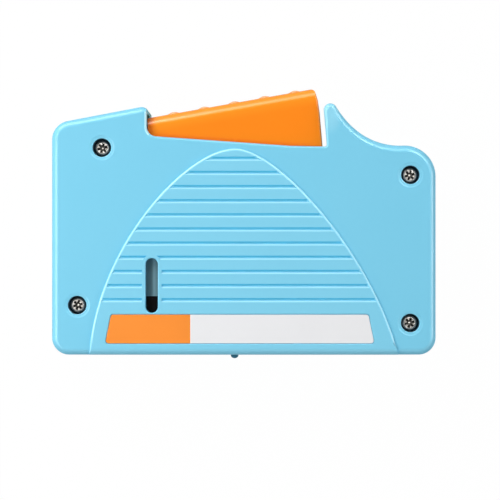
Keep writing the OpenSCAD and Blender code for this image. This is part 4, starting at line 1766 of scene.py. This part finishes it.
    def cuts(self) -> list[Piece]:
        """The cuts that only one half has.

        Returns:
            The cutting solids.
        """
        form = self.form
        if self.half is Half.REAR:
            bore, sides = self.shank_dia / 2 + self.bore_slack[1], self.bore_sides
            profile = ((bore, form.mid - OVER), (bore, self.seat + OVER))
            return [self.drawn(turned("bore", at, profile, sides)) for at in form.screws()]
        slot, label = self.slot, self.label
        return [
            self.flared("slot", slot.outline(form, slot.slack), form.inner - OVER, slot.lip),
            self.flared("recess", label.outline(form, 0), form.depth - label.recess, label.lip),
            *[self.well(at) for at in form.screws()],
        ]

    def build(self, finish: Material) -> None:
        """Makes the half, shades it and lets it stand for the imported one.

        Args:
            finish: The material of the piece.
        """
        shell = self.body()
        combine(shell, self.hill(), Way.ADD)
        combine(shell, self.core(), Way.TAKE)
        combine(shell, self.inside(), Way.ADD)
        for tool in (self.notch(), self.grooves(), self.window(), *self.cuts()):
            combine(shell, tool, Way.TAKE)
        shade(shell, finish)
        fit(shell, "case", "case_blue", self.half.value)


# The lever


@dataclass(frozen=True)
class Lever:
    """The squeeze lever, with its soft top edge and cross ribs."""

    form: CaseForm
    ribs: Pattern
    wall: float = 2.4
    soft: float = 3.1
    side: float = 0.6
    end: float = 0.7
    edge: float = 0.3
    bend: float = 1.7
    lap: float = 1.3
    snug: float = 0.34
    lean: float = 1.1
    rib_rise: float = 1.05
    rib_reach: float = 12.0
    rib_length: float = 7.2
    rib_count: int = 5
    rib_root: float = 1.6
    rib_shares: Pair = (-0.369, 0.269)
    crown_share: float = 0.366
    front_share: float = 0.411
    front_bends: Pairs = ((0.3955, 0.967), (0.386, 1.0155))
    back_gap: float = 0.4
    sector_top: float = 7.0
    barrel_top: float = 21.6
    graft: float = 0.8
    steps: int = 12
    roof_steps: int = 20

    @property
    def left(self) -> float:
        """The lever's end by the hinge."""
        return self.form.hinge[0]

    @property
    def crown(self) -> float:
        """Where the top line ends."""
        return self.form.across(self.crown_share)

    @property
    def slope(self) -> float:
        """Angle of the lever's top line in degrees."""
        return self.form.lever_slope

    @property
    def deep_lap(self) -> float:
        """How far the lever reaches below the notch's floor at its free end."""
        return 1.5 * self.lap

    def top(self, x: float) -> float:
        """Height of the lever's top line."""
        return self.form.hinge[1] + (x - self.left) * steepness(self.slope)

    @property
    def low_z(self) -> float:
        """Height of the lever's back."""
        return self.form.depth - self.form.inner + self.back_gap

    def rim(self) -> Places:
        """The lever's outline with its rim radii.

        Returns:
            The outline, with its rim radii as third values.
        """
        form, floor = self.form, self.form.notch_floor()
        left, right = self.left - self.snug, form.across(self.front_share)
        points = [
            (left, floor[0].y - self.lap, form.notch_corner, self.side),
            (*(floor[1] - Vector((0, self.deep_lap))), 0, self.side),
            (right, floor[2].y - self.deep_lap, 0, self.side),
            (right, floor[2].y, 0, self.end),
            *[(*form.place(*shares), 0, self.end) for shares in self.front_bends],
            (self.crown, self.top(self.crown), self.bend, self.end),
            (left, self.top(left), 2 * self.edge, self.edge),
        ]
        return rounded(points, self.steps)

    def body(self) -> Piece:
        """The lever's hollow grip.

        Returns:
            The solid.
        """
        rim, low, steps = self.rim(), self.low_z, self.steps
        high = self.form.depth - low
        rings = [*rim_rings(rim, low, -1, 1, steps), *rim_rings(rim, high, 1, 1, steps)]
        past, depth = self.crown - self.soft, high - low
        body = loft("lever_dressed", [
            leaned(ring, past, self.lean * (high - ring[0].z) / depth) for ring in rings
        ])
        combine(body, self.roof(low, high), Way.KEEP)
        start = self.left + self.wall + self.side
        stop = self.crown - self.wall
        roof = self.wall + self.soft / 4
        pocket = [
            Vector((start, 0)),
            Vector((stop, 0)),
            Vector((stop, self.top(stop) - roof)),
            Vector((start, self.top(start - self.side) - roof)),
        ]
        combine(body, prism("pocket", pocket, low + self.wall, high - self.wall), Way.TAKE)
        return body

    def roof(self, low: float, high: float) -> Piece:
        """A long bar under the sloping top line, with both of its top edges well rounded.

        Args:
            low: Height of the lever's back.
            high: Height of its front.

        Returns:
            The solid.
        """
        r, deep, steps = self.soft, self.form.height, self.roof_steps
        section = [
            Vector((-deep, low)),
            *arc(Vector((-r, low + r)), r, -90, 0, steps),
            *arc(Vector((-r, high - r)), r, 0, 90, steps),
            Vector((-deep, high)),
        ]
        along, across = turn(self.slope), turn(self.slope + 90)
        start = Vector((self.left, self.top(self.left)))
        rings = []
        for reach in (-deep, 2 * self.form.width):
            at = start + reach * along
            rings.append([Vector((*(at + p.x * across), p.y)) for p in section])
        return loft("roof", rings)

    def works(self) -> Piece:
        """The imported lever's barrel, tongue and toothed sector.

        Returns:
            The solid.
        """
        form = self.form
        works = merged_copy("lever")
        floor = form.notch_floor()[2].y - self.deep_lap
        keep = block("keep", (self.left, 0, 0), (form.width, floor + self.graft, self.sector_top))
        wall = (self.left + OVER, 2 * form.height, self.barrel_top)
        side = block("side", (-form.width, 0, 0), wall)
        combine(keep, side, Way.ADD)
        combine(works, keep, Way.KEEP)
        return works

    def cross_ribs(self) -> Piece:
        """The soft ribs across the lever's top.

        Returns:
            The solid.
        """
        first, last = map(self.form.across, self.rib_shares)
        step = (last - first) / (self.rib_count - 1)
        rise = step * steepness(self.slope)
        ribs = self.ribs.grow(
            "ribs",
            [Vector()],
            Length=self.rib_length * MM,
            Reach=self.rib_reach * MM,
            Rise=self.rib_rise * MM,
            Root=self.rib_root * MM,
            Count=self.rib_count,
            Step=(step * MM, rise * MM, 0),
            Tilt=(0, 0, math.radians(self.slope)),
        )
        height = (self.top(first) - self.rib_root / 2) * MM + EDGE_Y
        ribs.data.transform(Matrix.Translation((first * MM, height, self.form.mid * MM)))
        return ribs

    def build(self, finish: Material) -> None:
        """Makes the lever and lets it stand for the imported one.

        Args:
            finish: The material of the piece.
        """
        lever = self.body()
        combine(lever, self.cross_ribs(), Way.ADD)
        combine(lever, self.works(), Way.ADD)
        shade(lever, finish, angle=30)
        fit(lever, "lever", "lever_orange", "lever")


# Screws and tape


@dataclass(frozen=True)
class CaseScrews:
    """The four case screws: a pan head with a star recess on a plain shank."""

    form: CaseForm
    seats: Pattern
    head_r: float = 2.55
    shank_r: float = 1.45
    soft: float = 0.9
    head_share: float = 0.8
    chamfer: float = 0.15
    point: Pair = (0.7, 0.5)
    arms: Values = (15, 75, 135)
    arm_rings: tuple[Triple, ...] = (
        (0.8, 0.18, -1.2), (1.6, 0.31, -0.15), (1.76, 0.48, 0.05),
    )
    # Painted shade in the star recess's arms, fullest deep down
    arm_marks: Pair = (1.0, 0.4)
    pit_rings: Pairs = ((0.3, -1.6), (0.9, -1.25), (0.95, -0.3), (1.1, OVER))
    # Painted shade in the central pit, fading upwards
    pit_marks: Values = (1.0, 0.85, 0.6)
    head_sides: int = 64
    pit_sides: int = 24

    def head(self) -> Piece:
        """One screw, standing on the origin of the outlines.

        Returns:
            The solid.
        """
        form, r = self.form, self.head_r
        top = form.face - form.head_sunk
        floor = top - self.head_share * r
        dome = [
            (r - self.soft * (1 - t.x), top - self.soft * (1 - t.y))
            for t in map(turn, range(0, 91, 15))
        ]
        profile = [
            (self.shank_r * self.point[0], form.depth - floor),
            (self.shank_r, form.depth - floor + self.point[1]),
            (self.shank_r, floor),
            (r - self.chamfer, floor),
            (r, floor + self.chamfer),
            *dome,
        ]
        screw = turned("screw", Vector((0, 0)), profile, self.head_sides)
        for angle in self.arms:
            combine(screw, self.recess_arm(angle, top), Way.TAKE)
        sides = self.pit_sides
        hollow = [(radius, top + z) for radius, z in self.pit_rings]
        pit = turned("pit", Vector((0, 0)), hollow, sides)
        marks = [share for share in self.pit_marks for _ in range(sides)]
        combine(screw, mark(pit, marks), Way.TAKE)
        return screw

    def recess_arm(self, angle: float, top: float) -> Piece:
        """One tapered arm through the star recess, which makes two of its points.

        Args:
            angle: Direction of the arm in degrees.
            top: Height of the head's top.

        Returns:
            The cutting solid.
        """
        along, across = turn(angle), turn(angle + 90)
        rings = []
        for reach, half, z in self.arm_rings:
            corners = [(-reach, -half), (reach, -half), (reach, half), (-reach, half)]
            rings.append(level([a * along + b * across for a, b in corners], top + z))
        return mark(loft("arm", rings), [share for share in self.arm_marks for _ in corners])

    def build(self, finish: Material) -> None:
        """Sets one screw in each well.

        Args:
            finish: The material of the piece.
        """
        screw = self.head()
        places = [Vector((p.x * MM, p.y * MM, 0)) for p in self.form.screws()]
        screws = self.seats.grow("case_screws_dressed", places, Piece=screw, Material=finish)
        discard(screw)
        shade(screws, finish, angle=35)
        fit(screws, "case", "screw_nickel", "case_screws")


@dataclass(frozen=True)
class TapeRoll:
    """A roll of wipe tape, wound turn on turn."""

    node: str
    body: str
    axis: Vector
    turns: int
    wound: Pattern
    inner: float = 9.0
    packing: float = 0.96

    def build(self, finish: Material) -> None:
        """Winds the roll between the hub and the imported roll's rim.

        Args:
            finish: The material of the piece.
        """
        low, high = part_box(self.node)
        outer = (high.x - low.x) / 2 / MM
        pitch = (outer - self.inner) / self.turns
        middle = Vector((self.axis.x * MM, self.axis.y * MM + EDGE_Y, (low.z + high.z) / 2))
        roll = self.wound.grow(
            self.node + "_wound",
            [middle],
            Inner_Radius=(self.inner + pitch / 2) * MM,
            Outer_Radius=(outer - pitch / 2) * MM,
            Turns=float(self.turns - 1),
            Width=high.z - low.z,
            Thickness=self.packing * pitch * MM,
            Material=finish,
        )
        fit(roll, self.body, "wipe_tape", self.node)


# Light, floor and camera


@dataclass(frozen=True)
class Lamp:
    """A soft square lamp that looks at the middle of the case."""

    name: str
    azimuth: float
    tilt: float
    distance: float
    size: float
    power: float

    def build(self, target: Vector) -> None:
        """Hangs the lamp and turns it to the target.

        Args:
            target: The place that the lamp looks at.
        """
        light = bpy.data.lights.new(self.name, "AREA")
        light.shape = "SQUARE"
        light.size = self.size
        light.energy = self.power
        lamp = link(self.name, light)
        side = turn(self.azimuth) * math.sin(math.radians(self.tilt))
        back = Vector((side.x, side.y, math.cos(math.radians(self.tilt))))
        lamp.location = target + back * self.distance
        lamp.rotation_mode = "QUATERNION"
        lamp.rotation_quaternion = (-back).to_track_quat("-Z", "Y")


@dataclass(frozen=True)
class Studio:
    """A white floor, a white room, soft lamps and the camera over the case."""

    overhead: Ramp = (0.94, 0.68, 0.10, 0.61)
    sway: Pair = (0.3, 0.1)
    shine_top: Ramp = (0.92, 0.80, 0.05, 4.0)
    shine_low: Ramp = (0.60, 0.30, 1, 0.06)
    shine_near: Ramp = (-0.7, 0.0, 0.4, 1)
    spark: Ramp = (0.975, 0.993, 0, 14.0)
    spark_way: Triple = (0.362, 0.463, 0.809)
    floor_half: float = 3.0
    floor_glow: float = 0.985
    floor_mirrored: float = 0.22
    paper: tuple[float, float, float, float] = (0.95, 0.95, 0.95, 1)
    camera_x: float = 2.09
    camera_y: float = 0.17
    distance: float = 593.0
    plane: float = 28.8
    lens: float = 125.9
    lamps: tuple[Lamp, ...] = (
        Lamp("key", 122, 62, 0.9, 0.5, 4.5),
        Lamp("left", 185, 45, 0.5, 0.26, 0.97),
        Lamp("right", 3, 66, 0.9, 0.28, 2.0),
    )

    def room(self) -> None:
        """Makes the white room."""
        world = bpy.data.worlds.new("room")
        world.use_nodes = True
        bpy.context.scene.world = world
        tree = Tree(world.node_tree)
        way = tree.node("ShaderNodeSeparateXYZ", {0: tree.wire("ShaderNodeTexCoord", "Generated")})
        x, y, z = (Wire(tree, output) for output in way.outputs)
        side, up = self.sway
        soft = tree.ramp(z, *self.overhead) * (1 + y * up - x * side)
        ring = tree.ramp(z, *self.shine_top) * tree.ramp(z, *self.shine_low)
        a, b, c = self.spark_way
        spark = tree.ramp(x * a + y * b + z * c, *self.spark)
        hard = ring * tree.ramp(y, *self.shine_near) + spark
        seen = tree.ray("Camera") + tree.ray("Transmission")
        glow = soft + tree.ray("Glossy") * (hard - soft)
        strength = seen + (1 - seen) * glow
        inputs = {"Color": WHITE, "Strength": strength}
        tree.node("ShaderNodeOutputWorld", {0: tree.wire("ShaderNodeBackground", 0, inputs)})

    def floor(self) -> None:
        """Makes the floor that the case lies on."""
        half = self.floor_half
        corners = [(-half, -half, 0), (half, -half, 0), (half, half, 0), (-half, half, 0)]
        mesh = bpy.data.meshes.new("floor")
        mesh.from_pydata(corners, [], [(0, 1, 2, 3)])
        floor = link("floor", mesh)
        material = bpy.data.materials.new("floor")
        material.use_nodes = True
        tree = Tree(material.node_tree)
        seen, through, glossy = map(tree.ray, ("Camera", "Transmission", "Glossy"))
        strength = 1 - glossy * (1 - self.floor_mirrored)
        glow = tree.wire("ShaderNodeEmission", 0, {"Color": WHITE, "Strength": strength})
        paper = tree.wire("ShaderNodeBsdfDiffuse", 0, {"Color": self.paper})
        share = tree.maths("MINIMUM", seen + through + glossy, 1.0) * self.floor_glow
        mixed = tree.wire("ShaderNodeMixShader", 0, {0: share, 1: paper, 2: glow})
        tree.node("ShaderNodeOutputMaterial", {0: mixed})
        mesh.materials.append(material)

    def camera(self) -> None:
        """Sets the camera straight over the case."""
        view = bpy.data.cameras.new("camera")
        view.sensor_width = 36
        view.lens = self.lens
        view.clip_start, view.clip_end = 0.01, 10
        camera = link("camera", view)
        height = self.plane + self.distance
        camera.location = (self.camera_x * MM, self.camera_y * MM, height * MM)
        bpy.context.scene.camera = camera

    def build(self) -> None:
        """Makes the whole studio."""
        bpy.context.scene.view_settings.view_transform = "Standard"
        self.room()
        self.floor()
        self.camera()
        for lamp in self.lamps:
            lamp.build(Vector((0, 0, self.plane * MM)))


FORM = CaseForm.from_frame()
BLUE = CaseShell(
    "case_blue",
    (0.203, 0.605, 0.808),
    (0.191, 0.593, 0.798),
    0.38,
    0.02,
    relief=0.04,
    coat=0.25,
    tip=(FORM.horn.x, FORM.horn.y),
)
ORANGE = CrestedGrip(
    "lever_orange",
    (1.0, 0.252, 0.004),
    (0.97, 0.238, 0.003),
    0.34,
    0.02,
    0.3,
    0.04,
    coat=0.5,
    start=(FORM.hinge[0], FORM.hinge[1] + 0.1),
    slope=FORM.lever_slope,
)
# Painted shade: a darker copy of the case blue for the shutter, which lies in the case's shade
SHUTTER_SHADE_BLUE = Moulded("shutter_teal", (0.035, 0.150, 0.215), (0.045, 0.165, 0.230), 0.35, 0.08)
IVORY = Moulded("gear_ivory", (0.82, 0.78, 0.66), (0.76, 0.71, 0.58), 0.42, 0.12, 0.4, 0.08)
BLACK = Moulded("reel_black", (0.022, 0.023, 0.026), (0.030, 0.031, 0.034), 0.45, 0.15, 0.3, 0.12)
SLATE = Moulded("head_dark", (0.035, 0.042, 0.050), (0.045, 0.052, 0.060), 0.45, 0.12, 0.3, 0.12)
NICKEL = Metal("screw_nickel", (0.97, 0.94, 0.88), (0.70, 0.65, 0.58), 0.31, dents=0.12)
STEEL = Metal("pin_steel", (0.62, 0.63, 0.65), (0.45, 0.46, 0.48), 0.26, 0.2)
SPRING = Metal("spring_steel", (0.50, 0.51, 0.53), (0.32, 0.33, 0.35), 0.30, 0.1)
FELT = Pressed("washer_felt", (0.26, 0.26, 0.26), (0.38, 0.38, 0.37), 0.5)
RUBBER = Pressed("pad_rubber", (0.035, 0.035, 0.036), (0.06, 0.06, 0.06), 0.35, 0.2, 0.7)
# Window strip: painted shaded tape in its tint, a painted highlight band and painted shadow below the
# tape
PANE = ClearStrip("clear_pane", (0.18, 0.285, 0.305), (0.010, 0.008, 0.008), 0.85, 19.8, -30.4)
FILM = PrintedFilm(
    "label_film", (0.96, 0.285, 0.032), (0.83, 0.835, 0.85), (0.93, 0.88, 0.86), -17.9, 0.35
)
TAPE = WoundTape("wipe_tape", (0.31, 0.54, 0.63), (0.42, 0.66, 0.74), (-31.07, 44.03), 0.5)
USED = WoundTape("used_tape", (0.24, 0.38, 0.43), (0.34, 0.48, 0.52), (36.01, 36.04), 0.5)

FINISHES = (
    BLUE, ORANGE, SHUTTER_SHADE_BLUE, IVORY, BLACK, SLATE, NICKEL, STEEL, SPRING, FELT, RUBBER, PANE, FILM, TAPE,
    USED,
)
DRESSED = {
    PANE: ("sight_window",),
    STEEL: ("lever_pin", "idler_pin", "take_up_spindle", "roller_pins"),
    SPRING: ("lever_spring", "click_spring"),
    IVORY: ("drive_gear", "idler_gear", "guide_roller_left", "guide_roller_right"),
    BLACK: ("take_up_reel", "supply_reel"),
    FELT: ("brake_washer",),
    TAPE: ("tape_span",),
    SLATE: ("head_frame",),
    RUBBER: ("wipe_pad",),
}
GROOVES = {Half.FRONT: 11, Half.REAR: 14}


def build_shutter(finish: Material) -> None:
    """Makes the shutter with a lower, softer thumb ridge.

    Args:
        finish: The material of the piece.
    """
    shutter = merged_copy("shutter")
    shutter.name = "shutter_dressed"
    for vertex in shutter.data.vertices:
        if vertex.co.y < EDGE_Y:
            vertex.co.y = EDGE_Y + RIDGE_SHARE * (vertex.co.y - EDGE_Y)
    shade(shutter, finish)
    fit(shutter, "shutter", "case_blue", "shutter")


def dress_nodes(materials: dict[str, Material]) -> None:
    """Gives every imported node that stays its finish.

    Args:
        materials: The built materials, by name.
    """
    for finish, nodes in DRESSED.items():
        for node in nodes:
            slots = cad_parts[node].data.materials
            slots.clear()
            slots.append(materials[finish.name])
            log.info("%s: %s", node, finish.name)


def main() -> None:
    """Builds the studio and every piece of the cassette."""
    logging.basicConfig(level=logging.INFO, format="%(name)s: %(message)s")
    materials = {finish.name: finish.make() for finish in FINISHES}
    Studio().build()
    rows, seats, wound = row_pattern(), seat_pattern(), wound_pattern()
    label = Label()
    for half, grooves in GROOVES.items():
        Shell(FORM, half, Grip(grooves), Slot(), label, rows).build(materials[BLUE.name])
    Lever(FORM, rib_pattern()).build(materials[ORANGE.name])
    CaseScrews(FORM, seats).build(materials[NICKEL.name])
    label.build(FORM, materials[FILM.name])
    supply, take_up = FORM.place(*SUPPLY_AXIS), FORM.place(*TAKE_UP_AXIS)
    full = TapeRoll("supply_roll", "supply", supply, turns=31, wound=wound)
    full.build(materials[TAPE.name])
    begun = TapeRoll("take_up_roll", "take_up", take_up, turns=4, wound=wound)
    begun.build(materials[USED.name])
    build_shutter(materials[SHUTTER_SHADE_BLUE.name])
    dress_nodes(materials)


if __name__ == "__main__":
    main()
